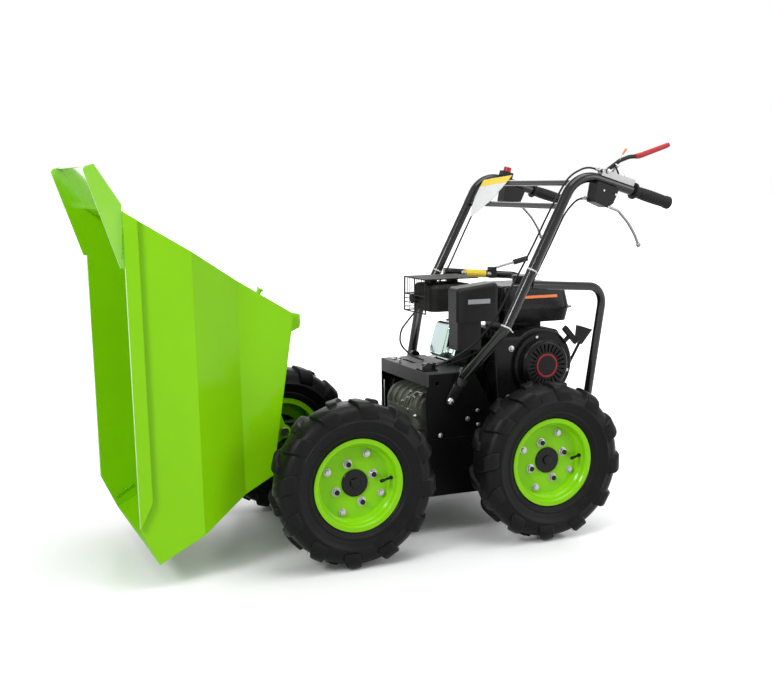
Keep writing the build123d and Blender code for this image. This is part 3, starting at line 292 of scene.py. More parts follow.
def make_weather_group():
    """Shared finish: slow colour drift, dust on upward faces, fine grain and rough patches."""
    group, given, result = start_group(
        "worn_finish",
        [
            ("Colour", (0.5, 0.5, 0.5, 1.0)),
            ("Dust Colour", (0.3, 0.28, 0.25, 1.0)),
            ("Drift", 0.1),
            ("Dust", 0.1),
            ("Grain Size", 400.0),
            ("Rough", 0.4),
            ("Rough Spread", 0.1),
        ],
        [
            ("Colour", "NodeSocketColor"),
            ("Roughness", "NodeSocketFloat"),
            ("Grain", "NodeSocketFloat"),
        ],
    )
    join = group.links.new
    place = group.nodes.new("ShaderNodeTexCoord")
    drift = add_noise(group, place, 7.0, 6.0)
    patch = add_noise(group, place, 34.0, 8.0, 0.65)
    fine = add_noise(group, place, given["Grain Size"], 3.0)
    centred = add_math(group, "SUBTRACT", drift, 0.5)
    amount = add_math(group, "MULTIPLY", centred, given["Drift"])
    shade = group.nodes.new("ShaderNodeHueSaturation")
    join(given["Colour"], shade.inputs["Color"])
    join(add_math(group, "ADD", amount, 1.0), shade.inputs["Value"])
    facing = group.nodes.new("ShaderNodeNewGeometry")
    split = group.nodes.new("ShaderNodeSeparateXYZ")
    join(facing.outputs["Normal"], split.inputs[0])
    upward = add_range(group, split.outputs["Z"], -0.2, 1.0)
    speckle = add_range(group, patch, 0.42, 0.72)
    dusty = add_math(group, "MULTIPLY", upward, speckle)
    cover = add_math(group, "MULTIPLY", dusty, given["Dust"], clamp=True)
    colour = add_blend(group, cover, shade.outputs["Color"], given["Dust Colour"])
    join(colour, result["Colour"])
    spread = add_math(group, "MULTIPLY", patch, given["Rough Spread"])
    rough = add_math(group, "ADD", spread, given["Rough"], clamp=True)
    join(rough, result["Roughness"])
    join(fine, result["Grain"])
    return group


worn_finish = make_weather_group()


def make_edge_group():
    """Shared edge wear and painted edge highlight: finds sharp outer edges and paints them
    lighter in ragged patches.
    """
    group, given, result = start_group(
        "worn_and_lit_edges",
        [
            ("Colour", (0.5, 0.5, 0.5, 1.0)),
            ("Worn And Lit Colour", (0.4, 0.4, 0.4, 1.0)),
            ("Worn And Lit Amount", 0.5),
        ],
        [("Colour", "NodeSocketColor"), ("Normal", "NodeSocketVector")],
    )
    join = group.links.new
    rounded = group.nodes.new("ShaderNodeBevel")
    rounded.samples = 4
    rounded.inputs["Radius"].default_value = 0.0012
    flat = group.nodes.new("ShaderNodeNewGeometry")
    match = group.nodes.new("ShaderNodeVectorMath")
    match.operation = "DOT_PRODUCT"
    join(rounded.outputs[0], match.inputs[0])
    join(flat.outputs["Normal"], match.inputs[1])
    # sharp edges are mixed towards a lighter colour: partly wear, partly a painted edge
    # highlight
    edge = add_range(group, match.outputs["Value"], 0.99, 0.86)
    place = group.nodes.new("ShaderNodeTexCoord")
    edge_noise = add_noise(group, place, 70.0, 5.0)
    ragged = add_range(group, edge_noise, 0.4, 0.62)
    edge_mask = add_math(group, "MULTIPLY", edge, ragged)
    cover = add_math(group, "MULTIPLY", edge_mask, given["Worn And Lit Amount"], clamp=True)
    join(add_blend(group, cover, given["Colour"], given["Worn And Lit Colour"]), result["Colour"])
    join(rounded.outputs[0], result["Normal"])
    return group


worn_and_lit_edges = make_edge_group()


def finish_of(
    name, colour, dust, grain, depth, rough, spread, worn_and_lit_colour, drift=0.3, worn_and_lit_amount=0.3,
    specular=0.5, metallic=0.0, coat=0.0, coat_rough=0.03,
):
    """Material with the worn finish, edges made lighter by wear and painted highlight, and a
    fine bump.

    Drift, dust and worn_and_lit_amount are shares, grain is the scale of the noise, depth is in
    metres.
    """
    material, tree, shader = new_material(name)
    body = tree.nodes.new("ShaderNodeGroup")
    body.node_tree = worn_finish
    edges = tree.nodes.new("ShaderNodeGroup")
    edges.node_tree = worn_and_lit_edges
    bump = tree.nodes.new("ShaderNodeBump")
    for node, socket, value in (
        (body, "Colour", (*colour, 1.0)),
        (body, "Drift", drift),
        (body, "Dust", dust),
        (body, "Grain Size", grain),
        (body, "Rough", rough),
        (body, "Rough Spread", spread),
        (edges, "Worn And Lit Colour", (*worn_and_lit_colour, 1.0)),
        (edges, "Worn And Lit Amount", worn_and_lit_amount),
        (bump, "Strength", 0.6),
        (bump, "Distance", depth),
        (shader, "Specular IOR Level", specular),
        (shader, "Metallic", metallic),
        (shader, "Coat Weight", coat),
        (shader, "Coat Roughness", coat_rough),
    ):
        node.inputs[socket].default_value = value
    tree.links.new(body.outputs["Colour"], edges.inputs["Colour"])
    tree.links.new(edges.outputs["Colour"], shader.inputs["Base Color"])
    tree.links.new(body.outputs["Roughness"], shader.inputs["Roughness"])
    tree.links.new(body.outputs["Grain"], bump.inputs["Height"])
    tree.links.new(edges.outputs["Normal"], bump.inputs["Normal"])
    tree.links.new(bump.outputs["Normal"], shader.inputs["Normal"])
    return material


def dress(material, *names):
    """Give CAD nodes their material."""
    for name in names:
        mesh = nodes[name].data
        mesh.materials.clear()
        mesh.materials.append(material)


def dress_part(material, name, chosen):
    """Give a second material to the faces of a CAD node whose centre passes a test."""
    mesh = nodes[name].data
    mesh.materials.append(material)
    for face in mesh.polygons:
        if chosen(face.center):
            face.material_index = len(mesh.materials) - 1


def keep_piece(name, shape, material, body, smooth=40.0):
    """Turn a finished bmesh into a piece that rides on a body."""
    bmesh.ops.remove_doubles(shape, verts=shape.verts, dist=1e-6)
    bmesh.ops.recalc_face_normals(shape, faces=shape.faces)
    mesh = bpy.data.meshes.new(name)
    shape.to_mesh(mesh)
    shape.free()
    mesh.materials.append(material)
    mesh.shade_smooth()
    mesh.set_sharp_from_angle(angle=radians(smooth))
    piece = bpy.data.objects.new(name, mesh)
    render_scene.collection.objects.link(piece)
    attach(piece, body)
    return piece


def join_mesh(shape, part):
    """Move a part's mesh into a shape and free the part."""
    block = bpy.data.meshes.new("block")
    part.to_mesh(block)
    part.free()
    shape.from_mesh(block)
    bpy.data.meshes.remove(block)


def spin_outline(shape, points, centre, axis, steps, closed=True):
    """Surface of an outline's points spun all the way round an axis."""
    corners = [shape.verts.new(point) for point in points]
    after = corners[1:] + corners[:1] if closed else corners[1:]
    lines = [shape.edges.new(pair) for pair in zip(corners, after)]
    bmesh.ops.spin(
        shape, geom=corners + lines, cent=centre, axis=axis, angle=2 * pi,
        steps=steps, use_merge=True, use_duplicate=False,
    )


tyre_rubber = finish_of(
    "tyre_rubber", colour=(0.0055, 0.0055, 0.0060), drift=0.6, dust=0.03, grain=900.0,
    depth=0.0005, rough=0.18, spread=0.34, worn_and_lit_colour=(0.018, 0.018, 0.018), worn_and_lit_amount=0.4, specular=0.11,
)


def make_bar(row):
    """One beveled bar at the top of the wheel, lofted from the middle over the shoulder."""
    bar = bmesh.new()
    loops = []
    for share, inner, outer, sweep, width in bar_stations:
        y = row * share * tyre_half
        t = sweep * lug_sweep
        w = width * lug_half_width
        loops.append([
            bar.verts.new((inner, y - row * lug_lean, t - w)),
            bar.verts.new((outer, y, t - w * lug_top_share)),
            bar.verts.new((outer, y, t + w * lug_top_share)),
            bar.verts.new((inner, y - row * lug_lean, t + w)),
        ])
    for first, second in zip(loops, loops[1:]):
        for a in range(4):
            b = (a + 1) % 4
            bar.faces.new((first[a], first[b], second[b], second[a]))
    bar.faces.new(loops[0])
    bar.faces.new(loops[-1])
    bmesh.ops.recalc_face_normals(bar, faces=bar.faces)
    bmesh.ops.bevel(
        bar, geom=bar.edges[:], offset=lug_rounding, affect="EDGES", segments=3,
        profile=0.5, material=-1,
    )
    return bar


def make_hair(row, share, lean):
    """One vent hair that the mould left in the groove beside a bar."""
    hair = bmesh.new()
    bmesh.ops.create_cone(
        hair, cap_ends=True, segments=3, radius1=0.0005, radius2=0.0003, depth=hair_length
    )
    across = row * share * tyre_half * 0.85
    root = Matrix.Translation((carcass_radius, across, hair_gap + lean))
    tip = Matrix.Rotation(pi / 2 + lean * hair_splay, 4, "Y")
    bmesh.ops.transform(hair, matrix=root @ tip, verts=hair.verts)
    return hair


def make_tyre(place):
    """One tyre: the carcass is spun and the bars with their vent hairs are set round it."""
    low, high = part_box("rim_" + place)
    centre = (low + high) / 2
    side = 1 if centre.y > 0 else -1
    shape = bmesh.new()
    profile = half_section + [(r, -w) for r, w in reversed(half_section[:-1])]
    points = [(centre.x, centre.y + side * w, centre.z + r) for r, w in profile]
    spin_outline(shape, points, centre, (0, 1, 0), 72)
    for row in (1, -1):
        for k in range(lug_count):
            bar = make_bar(row)
            for share, lean in ((0.62, 0.004), (0.80, -0.003)):
                join_mesh(bar, make_hair(row, share, lean))
            angle = (k + (row < 0) / 2) * 2 * pi / lug_count
            # the bar's radial direction, the axle and the way round the wheel
            out = Vector((cos(angle), 0, sin(angle)))
            way = Vector((-sin(angle), 0, cos(angle)))
            bar_turn = Matrix((out, Vector((0, side, 0)), way)).transposed().to_4x4()
            whole = Matrix.Translation(centre) @ bar_turn
            bmesh.ops.transform(bar, matrix=whole, verts=bar.verts)
            join_mesh(shape, bar)
    piece = keep_piece("tread_" + place, shape, tyre_rubber, "wheel_" + place, smooth=50.0)
    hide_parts("tyre_" + place)


for place in wheels:
    make_tyre(place)


# ---------------------------------------------------------------- rims and hubs
# Pressed steel rims in glossy lime powder coat, with a black hub cap in the middle.
# Four bright bolts hold the disc's two halves and four nuts hold it on the hub.

lime_colour = (0.238, 0.610, 0.003)
lime_coat = finish_of(
    "lime_powder_coat", colour=lime_colour, drift=0.14, dust=0.0, grain=260.0, depth=0.00008,
    rough=0.12, spread=0.10, worn_and_lit_colour=(0.30, 0.66, 0.03), worn_and_lit_amount=0.25, specular=0.11, coat=0.08,
    coat_rough=0.12,
)
black_coat = finish_of(
    "black_powder_coat", colour=(0.0050, 0.0050, 0.0054), dust=0.02, grain=500.0, depth=0.00008,
    rough=0.13, spread=0.12, worn_and_lit_colour=(0.03, 0.03, 0.03), specular=0.16, coat=0.05, coat_rough=0.15,
)
zinc_plate = finish_of(
    "zinc_plate", colour=(0.40, 0.40, 0.39), drift=0.5, dust=0.03, grain=500.0, depth=0.00003,
    rough=0.20, spread=0.20, worn_and_lit_colour=(0.48, 0.48, 0.46), worn_and_lit_amount=0.15, metallic=1.0,
)
bolt_ring_radius = 0.075
bolt_first_turn = 65
nut_ring_radius = 0.050
nut_first_turn = 20
bolts_per_ring = 4
washer_height = 0.0016
washer_sunk = 0.0002
disc_inset = 0.006
valve_turn = radians(3.0)
valve_root = (0.092, 0.014)
valve_tip = (0.066, 0.027)


def add_turned(shape, part, place, outward, lift=0.0, turn=0.0):
    """Stand a part made along +Z on a surface and join it to a shape."""
    aim = Vector(outward).normalized()
    stand = aim.to_track_quat("Z", "Y").to_matrix().to_4x4()
    spin = Matrix.Rotation(turn, 4, "Z")
    whole = Matrix.Translation(Vector(place) + aim * lift) @ stand @ spin
    bmesh.ops.transform(part, matrix=whole, verts=part.verts)
    join_mesh(shape, part)


def add_hex(shape, place, outward, size, height, turn=0.0):
    """Chamfered hexagon head standing on a surface."""
    head = bmesh.new()
    bmesh.ops.create_cone(
        head, cap_ends=True, segments=6, radius1=size, radius2=size, depth=height
    )
    bmesh.ops.bevel(
        head, geom=head.edges[:], offset=size * 0.10, affect="EDGES", segments=2,
        profile=0.5, material=-1,
    )
    add_turned(shape, head, place, outward, height / 2, turn)


def add_round(shape, place, outward, base, top, height, segments=24):
    """Round boss, washer or cap standing on a surface."""
    disc = bmesh.new()
    bmesh.ops.create_cone(
        disc, cap_ends=True, segments=segments, radius1=base, radius2=top, depth=height
    )
    rims = [edge for edge in disc.edges if edge.calc_face_angle(0.0) > 0.8]
    bmesh.ops.bevel(
        disc, geom=rims, offset=min(base, height) * 0.18, affect="EDGES", segments=2,
        profile=0.5, material=-1,
    )
    add_turned(shape, disc, place, outward, height / 2)


def ring_spot(middle, radius, turn):
    """Point of a ring round the wheel axis, turned in degrees from the rear."""
    angle = radians(turn)
    return middle + Vector((-cos(angle), 0, sin(angle))) * radius


def make_wheel_fittings(place):
    """Bolts and nuts on washers, stud ends, the hub's centre cap and the valve of a wheel."""
    low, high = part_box("rim_" + place)
    centre = (low + high) / 2
    side = 1 if centre.y > 0 else -1
    outward = Vector((0, side, 0))
    face = centre + outward * disc_inset
    seat = outward * (washer_height - washer_sunk)
    bolts = bmesh.new()
    nuts = bmesh.new()
    for k in range(bolts_per_ring):
        turn = bolt_first_turn + 360 / bolts_per_ring * k
        spot = ring_spot(face, bolt_ring_radius, turn)
        add_round(bolts, spot, outward, 0.0095, 0.0095, washer_height)
        add_hex(bolts, spot + seat, outward, 0.0078, 0.0055, radians(turn))
        turn = nut_first_turn + 360 / bolts_per_ring * k
        spot = ring_spot(face, nut_ring_radius, turn)
        add_round(bolts, spot, outward, 0.0115, 0.0115, washer_height)
        add_hex(bolts, spot + seat, outward, 0.0095, 0.0070, radians(turn))
        add_round(nuts, spot + outward * 0.0076, outward, 0.0068, 0.0062, 0.0034, 20)
    keep_piece("wheel_bolts_" + place, bolts, zinc_plate, "wheel_" + place)
    add_round(nuts, face + outward * 0.0070, outward, 0.0125, 0.0110, 0.0020, 32)
    away = Vector((-cos(valve_turn), 0, sin(valve_turn)))
    root = centre + away * valve_root[0] + outward * valve_root[1]
    tip = centre + away * valve_tip[0] + outward * valve_tip[1]
    add_round(nuts, root, tip - root, 0.0052, 0.0036, 0.008, 16)
    add_round(nuts, root, tip - root, 0.0031, 0.0031, (tip - root).length, 16)
    add_round(nuts, tip, tip - root, 0.0044, 0.0038, 0.009, 16)
    keep_piece("wheel_studs_" + place, nuts, black_coat, "wheel_" + place)


for place in wheels:
    dress(lime_coat, "rim_" + place)
    dress(black_coat, "hub_" + place)
    make_wheel_fittings(place)


# ---------------------------------------------------------------- drive case and housing
# A welded case for the chains with a folded sheet housing bolted on top of it. The case and
# the plates are matt black and the top sheet is satin. Round-headed bolts hold the handles
# and small bolts the inner works.

housing_coat = finish_of(
    "satin_housing_coat", colour=(0.0250, 0.0250, 0.0260), dust=0.06, grain=500.0,
    depth=0.00012, rough=0.46, spread=0.12, worn_and_lit_colour=(0.05, 0.05, 0.05), worn_and_lit_amount=0.4, specular=0.42,
)
plate_coat = finish_of(
    "matt_plate_coat", colour=(0.0034, 0.0034, 0.0037), dust=0.02, grain=500.0, depth=0.00012,
    rough=0.30, spread=0.12, worn_and_lit_colour=(0.03, 0.03, 0.03), worn_and_lit_amount=0.4, specular=0.06,
)
dress(black_coat, "front_frame", "tip_catch")
dress(housing_coat, "gearbox_housing")
dress(plate_coat, "drive_case", "engine_deck", "housing_side_left", "housing_side_right")
side_face = 150.4


def add_plate(shape, corners, thickness, outward):
    """Thin flat plate from its corners, thickened outwards."""
    sheet = bmesh.new()
    face = sheet.faces.new([sheet.verts.new(corner) for corner in corners])
    bmesh.ops.recalc_face_normals(sheet, faces=[face])
    if face.normal.dot(Vector(outward)) < 0:
        bmesh.ops.reverse_faces(sheet, faces=[face])
    sheet.normal_update()
    grown = bmesh.ops.extrude_face_region(sheet, geom=[face])
    lifted = [v for v in grown["geom"] if isinstance(v, bmesh.types.BMVert)]
    step = Vector(outward).normalized() * thickness
    bmesh.ops.translate(sheet, vec=step, verts=lifted)
    join_mesh(shape, sheet)


def add_rod(shape, start, end, radius, sides=8):
    """Straight round wire between two points."""
    wire = bmesh.new()
    run = Vector(end) - Vector(start)
    bmesh.ops.create_cone(
        wire, cap_ends=True, segments=sides, radius1=radius, radius2=radius,
        depth=run.length,
    )
    add_turned(shape, wire, start, run, run.length / 2)


def make_housing_bolts():
    """Small bolts and one round-headed handle bolt on each side plate of the housing."""
    shape = bmesh.new()
    # x, z, head size in millimetres; x also turns the head, so no two stand alike
    spots = [(-109, 298, 5.0), (-31, 262, 5.0), (-137, 318, 4.0), (-139, 281, 4.0)]
    for side in (1, -1):
        outward = Vector((0, side, 0))
        for x, z, size in spots:
            spot = at(x, side * side_face, z)
            add_round(shape, spot, outward, size * 0.0013, size * 0.0013, 0.0012, 20)
            add_hex(shape, spot + outward * 0.001, outward, size / 1000, 0.004, x)
        dome = bmesh.new()
        bmesh.ops.create_uvsphere(dome, u_segments=24, v_segments=12, radius=0.0105)
        below = bmesh.ops.bisect_plane(
            dome, geom=dome.verts[:] + dome.edges[:] + dome.faces[:], plane_co=(0, 0, 0.004),
            plane_no=(0, 0, -1), clear_outer=True,
        )
        rim = [e for e in below["geom_cut"] if isinstance(e, bmesh.types.BMEdge)]
        bmesh.ops.contextual_create(dome, geom=rim)
        add_turned(shape, dome, at(-57, side * 152.4, 350), outward)
    piece = keep_piece("housing_bolts", shape, zinc_plate, "chassis")


make_housing_bolts()


def make_housing_trim():
    """Light strip on the right plate's front flange; a clip and a saddle on the top sheet."""
    sheet_top = 425.4
    shape = bmesh.new()
    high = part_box("housing_side_right")[1]
    inner = high.y - 0.0005
    strip = [(inner, 292), (inner, 366), (inner - 0.0075, 366), (inner - 0.0075, 292)]
    corners = [Vector((high.x - 0.0038, y, at(0, 0, z).z)) for y, z in strip]
    add_plate(shape, corners, 0.0010, (1, 0, 0))
    clip = [(-12, -104), (-12, -128), (-40, -134), (-40, -112)]
    add_plate(shape, [at(x, y, sheet_top) for x, y in clip], 0.0016, (0, 0, 1))
    add_hex(shape, at(-24, -119, sheet_top + 1.4), (0, 0, 1), 0.0050, 0.0036)
    saddle = [(2, -44), (2, -58), (-14, -58), (-14, -44)]
    add_plate(shape, [at(x, y, sheet_top) for x, y in saddle], 0.0014, (0, 0, 1))
    add_rod(shape, at(-6, -58, 430), at(-6, -44, 430), 0.0042, 16)
    keep_piece("housing_trim", shape, zinc_plate, "chassis")


make_housing_trim()


# ---------------------------------------------------------------- gearbox
# Cast aluminium gearbox behind the open front of the housing, left as cast, with a ribbed
# barrel. Plated cap screws close it and a thin bent pipe lets it breathe.

cast_alloy = finish_of(
    "cast_alloy", colour=(0.13, 0.14, 0.11), drift=0.9, dust=0.25, grain=420.0, depth=0.0009,
    rough=0.38, spread=0.3, worn_and_lit_colour=(0.45, 0.46, 0.40), worn_and_lit_amount=0.6, metallic=0.75,
)
dress(cast_alloy, "gearbox")


def make_gearbox_screws():
    """Cap screws round the front of the barrel and a short bent breather pipe."""
    shape = bmesh.new()
    axis_x, axis_z, radius = -30, 322, 47
    # turn up from straight ahead in degrees, which also turns the head; place across
    spots = [(15, 28), (-3, 66), (38, 82), (52, 100), (52, 44), (-14, 106), (30, 56)]
    for turn, y in spots:
        outward = Vector((cos(radians(turn)), 0, sin(radians(turn))))
        spot = at(axis_x + radius * outward.x, y, axis_z + radius * outward.z)
        add_round(shape, spot, outward, 0.0046, 0.0046, 0.0060, 16)
        add_hex(shape, spot + outward * 0.0058, outward, 0.0036, 0.0034, turn)
    bends = [(19, 60, 334), (15, 72, 354), (6, 88, 368), (4, 122, 369)]
    for start, end in zip(bends, bends[1:]):
        add_rod(shape, at(*start), at(*end), 0.0026, 12)
    keep_piece("gearbox_screws", shape, zinc_plate, "chassis")


make_gearbox_screws()


# ---------------------------------------------------------------- skip
# Folded and welded sheet steel skip in the same lime powder coat, hinged at the front.
# Its hem is folded outwards along both long edges. A hood with a glossier coat stands above
# the rear wall.

hood_coat = finish_of(
    "lime_hood_coat", colour=lime_colour, drift=0.14, dust=0.0, grain=260.0, depth=0.00008,
    rough=0.10, spread=0.06, worn_and_lit_colour=(0.30, 0.66, 0.03), worn_and_lit_amount=0.25, specular=0.30, coat=1.0,
    coat_rough=0.05,
)
dress(
    lime_coat, "skip_trough", "skip_sides", "skip_rest_feet", "skip_striker",
    "skip_hinge_ears",
)
dress(hood_coat, "skip_hood")
dress(zinc_plate, "hinge_pin")


def make_weld_beads():
    """Lumpy weld beads where the hood stands on the sides and where the nose is closed."""
    shape = bmesh.new()
    bead_step = 0.0055
    bead_size, bead_swing = 0.0024, 0.0006
    # start and end in drawing millimetres, on the left; the right side mirrors them
    seams = [
        ((773.5, 257.6, 850.0), (779.0, 257.6, 752.0)),
        ((728.0, 252.0, 90.5), (681.0, 252.0, 119.5)),
    ]
    for start, end in seams:
        for side in (1, -1):
            first = at(start[0], side * start[1], start[2])
            last = at(end[0], side * end[1], end[2])
            beads = max(2, round((last - first).length / bead_step))
            for k in range(beads + 1):
                spot = first.lerp(last, k / beads)
                size = bead_size + bead_swing * sin(k * 2.4)
                bead = bmesh.new()
                bmesh.ops.create_icosphere(bead, subdivisions=1, radius=size)
                add_turned(shape, bead, spot, last - first, turn=k * 1.1)
    piece = keep_piece("skip_welds", shape, lime_coat, "skip", smooth=80.0)


make_weld_beads()


# ---------------------------------------------------------------- engine block
# Air-cooled single-cylinder engine: a cast crankcase in black engine paint with the finned
# cylinder sloping forwards under a bright pressed rocker cover. A coated guard covers the
# belt on its right side.

engine_paint = finish_of(
    "black_engine_paint", colour=(0.009, 0.009, 0.010), drift=0.5, dust=0.12, grain=650.0,
    depth=0.0005, rough=0.36, spread=0.2, worn_and_lit_colour=(0.10, 0.10, 0.10), worn_and_lit_amount=0.5, specular=0.16,
)
# the rocker cover's greenish tint is a painted green reflection on the bright metal
cover_with_painted_reflection = finish_of(
    "bright_rocker_cover", colour=(0.62, 0.76, 0.74), dust=0.05, grain=60.0, depth=0.0006,
    rough=0.05, spread=0.08, worn_and_lit_colour=(0.8, 0.85, 0.85), metallic=1.0,
)
dress(engine_paint, "engine_block")
dress(cover_with_painted_reflection, "rocker_cover")
dress(black_coat, "belt_guard")


# ---------------------------------------------------------------- fan housing and starter
# Pressed blower housing in satin black with the recoil starter cover screwed on its middle.
# A plain disc with a red ring fills the middle of the slots.

satin_black = finish_of(
    "satin_black_pressing", colour=(0.0060, 0.0060, 0.0065), drift=0.35, dust=0.03, grain=900.0,
    depth=0.0001, rough=0.18, spread=0.2, worn_and_lit_colour=(0.05, 0.05, 0.05), worn_and_lit_amount=0.4, specular=0.15,
)
moulded_black = finish_of(
    "moulded_black_plastic", colour=(0.0075, 0.0075, 0.0080), dust=0.04, grain=700.0,
    depth=0.0003, rough=0.32, spread=0.15, worn_and_lit_colour=(0.03, 0.03, 0.03), worn_and_lit_amount=0.4, specular=0.17,
)
red_enamel = finish_of(
    "red_enamel", colour=(0.40, 0.010, 0.016), drift=0.2, dust=0.02, grain=500.0, depth=0.00005,
    rough=0.30, spread=0.1, worn_and_lit_colour=(0.42, 0.02, 0.03), worn_and_lit_amount=0.1, specular=0.30,
)
dress(satin_black, "fan_housing", "recoil_cover")
dress(moulded_black, "starter_grip")


def make_starter_trim():
    """Red ring on the middle disc, and the screws of the starter cover and the housing."""
    inner, outer, height = 0.0268, 0.0312, 0.0006
    screw_ring_radius = 0.0765
    low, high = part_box("recoil_cover")
    middle = (low + high) / 2
    fan_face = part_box("fan_housing")[1].y
    ring = bmesh.new()
    profile = [(inner, 0, 0.0), (inner, 0, height), (outer, 0, height), (outer, 0, 0.0)]
    spin_outline(ring, profile, (0, 0, 0), (0, 0, 1), 64)
    shape = bmesh.new()
    add_turned(shape, ring, (middle.x, high.y, middle.z), (0, 1, 0))
    trim = keep_piece("starter_ring", shape, red_enamel, "chassis")
    screws = bmesh.new()
    for k in range(3):
        angle = radians(75 + 120 * k)
        spot = Vector((middle.x, low.y + 0.010, middle.z))
        spot += Vector((cos(angle), 0, sin(angle))) * screw_ring_radius
        add_hex(screws, spot, (0, 1, 0), 0.0045, 0.004, angle)
    for x, z in ((-246, 470), (-238, 340)):
        spot = at(x, 0, z)
        spot.y = fan_face
        add_round(screws, spot, (0, 1, 0), 0.0085, 0.0085, 0.0012)
        add_hex(screws, spot + Vector((0, 0.001, 0)), (0, 1, 0), 0.0055, 0.004, 0.3)
    piece = keep_piece("starter_screws", screws, zinc_plate, "chassis")


make_starter_trim()


# ---------------------------------------------------------------- fuel tank
# Two pressed halves seamed round the middle, in satin black, with a moulded screw cap.
# A plain orange band runs along the left side.

orange_band = finish_of(
    "orange_band", colour=(0.80, 0.19, 0.02), drift=0.1, dust=0.1, grain=500.0, depth=0.00005,
    rough=0.35, spread=0.1, worn_and_lit_colour=(0.85, 0.4, 0.2), worn_and_lit_amount=0.2,
)
dress(satin_black, "fuel_tank")
dress(moulded_black, "tank_cap")


def make_tank_band():
    """Orange band on the sloping upper half of the tank's left side."""
    seam = at(0, 0, 567).z
    slope = 0.231
    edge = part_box("fuel_tank")[1].y - 0.008
    bottom = seam + 0.0275
    top = bottom + 0.0075
    front = at(-306, 0, 0).x
    rear = at(-412, 0, 0).x
    shape = bmesh.new()
    corners = [
        (front, edge - (bottom - seam) * slope, bottom),
        (rear, edge - (bottom - seam) * slope, bottom),
        (rear, edge - (top - seam) * slope, top),
        (front, edge - (top - seam) * slope, top),
    ]
    add_plate(shape, corners, 0.0004, (0, 1, slope))
    keep_piece("tank_band", shape, orange_band, "chassis")


make_tank_band()


# ---------------------------------------------------------------- air cleaner
# Moulded air cleaner box and the carburettor cover below it, in grained black plastic.
# A blank data plate is stuck on the left side.

plate_grey = finish_of(
    "blank_data_plate", colour=(0.32, 0.32, 0.34), drift=0.2, dust=0.1, grain=500.0,
    depth=0.00005, rough=0.32, spread=0.15, worn_and_lit_colour=(0.5, 0.5, 0.5),
)
dress(moulded_black, "air_cleaner", "carburettor")


def make_air_cleaner_plate():
    """Blank grey plate on the air cleaner's left face."""
    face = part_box("air_cleaner")[1].y
    outline = [(-116, 594), (-180, 594), (-180, 606), (-116, 606)]
    corners = [Vector((at(x, 0, 0).x, face, at(0, 0, z).z)) for x, z in outline]
    shape = bmesh.new()
    add_plate(shape, corners, 0.0004, (0, 1, 0))
    piece = keep_piece("air_cleaner_plate", shape, plate_grey, "chassis")


make_air_cleaner_plate()


# ---------------------------------------------------------------- muffler and its guard
# Pressed steel muffler in heat-proof black under a folded guard plate.
# Welded wire mesh closes the guard's front and right side.

heat_black = finish_of(
    "heat_proof_black", colour=(0.0085, 0.0080, 0.0080), drift=0.6, dust=0.15, grain=600.0,
    depth=0.0006, rough=0.50, spread=0.25, worn_and_lit_colour=(0.07, 0.06, 0.05), worn_and_lit_amount=0.5, specular=0.16,
)
dress(heat_black, "muffler", "muffler_guard")


def make_guard_mesh():
    """Wires of the guard: a close upper row and open squares below it."""
    low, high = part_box("muffler_guard")
    inset = 0.0016
    front = high.x - inset
    right = low.y + inset
    top = high.z - 0.003
    middle = low.z + 0.0475
    wire = 0.0008
    across, along, rows = 12, 15, 4
    shape = bmesh.new()
    for k in range(across + 1):
        y = low.y + (high.y - low.y) * k / across
        bottom = middle if k % 3 else low.z
        add_rod(shape, (front, y, bottom), (front, y, top), wire)
    for k in range(along + 1):
        x = low.x + (high.x - low.x) * k / along
        bottom = middle if k % 3 else low.z
        add_rod(shape, (x, right, bottom), (x, right, top), wire)
    for k in range(1, rows):
        z = low.z + (middle - low.z) * k / rows
        add_rod(shape, (front, low.y, z), (front, high.y, z), wire)
        add_rod(shape, (low.x, right, z), (high.x, right, z), wire)
    piece = keep_piece("muffler_guard_mesh", shape, heat_black, "chassis")


make_guard_mesh()


# ---------------------------------------------------------------- deck lever
# Upright steel lever with a moulded wedge knob on the rear of the deck.
# The rod and the knob are one black piece.

dress(moulded_black, "rear_lever")


# ---------------------------------------------------------------- handles and guards
# Bent steel tubes in glossy black coat, bolted to the housing's sides and joined by two
# crossbars, with a guard hoop on each side of the engine.

tube_coat = finish_of(
    "glossy_tube_coat", colour=(0.0060, 0.0060, 0.0065), dust=0.02, grain=500.0, depth=0.00006,
    rough=0.12, spread=0.10, worn_and_lit_colour=(0.03, 0.03, 0.03), specular=0.34, coat=0.15, coat_rough=0.08,
)
dress(
    tube_coat, "handle_tube_left", "handle_tube_right", "handle_crossbars",
    "guard_hoop_left", "guard_hoop_right",
)


# ---------------------------------------------------------------- grips
# Moulded rubber grips with a collar at each end and shallow finger ribs between them.
# They are pushed on the ends of the handle tubes.

grip_rubber = finish_of(
    "grip_rubber", colour=(0.0075, 0.0075, 0.0080), dust=0.06, grain=1400.0, depth=0.0004,
    rough=0.42, spread=0.15, worn_and_lit_colour=(0.03, 0.03, 0.03), specular=0.18,
)
grip_start = (-532.0, 878.0)
grip_run = Vector((-168.0, 0.0, -50.0)).normalized()
grip_length = 0.118
grip_bore = 0.0130
collar_radius = 0.0215
rib_count = 9
rib_rise = 0.0009
handle_side = 255


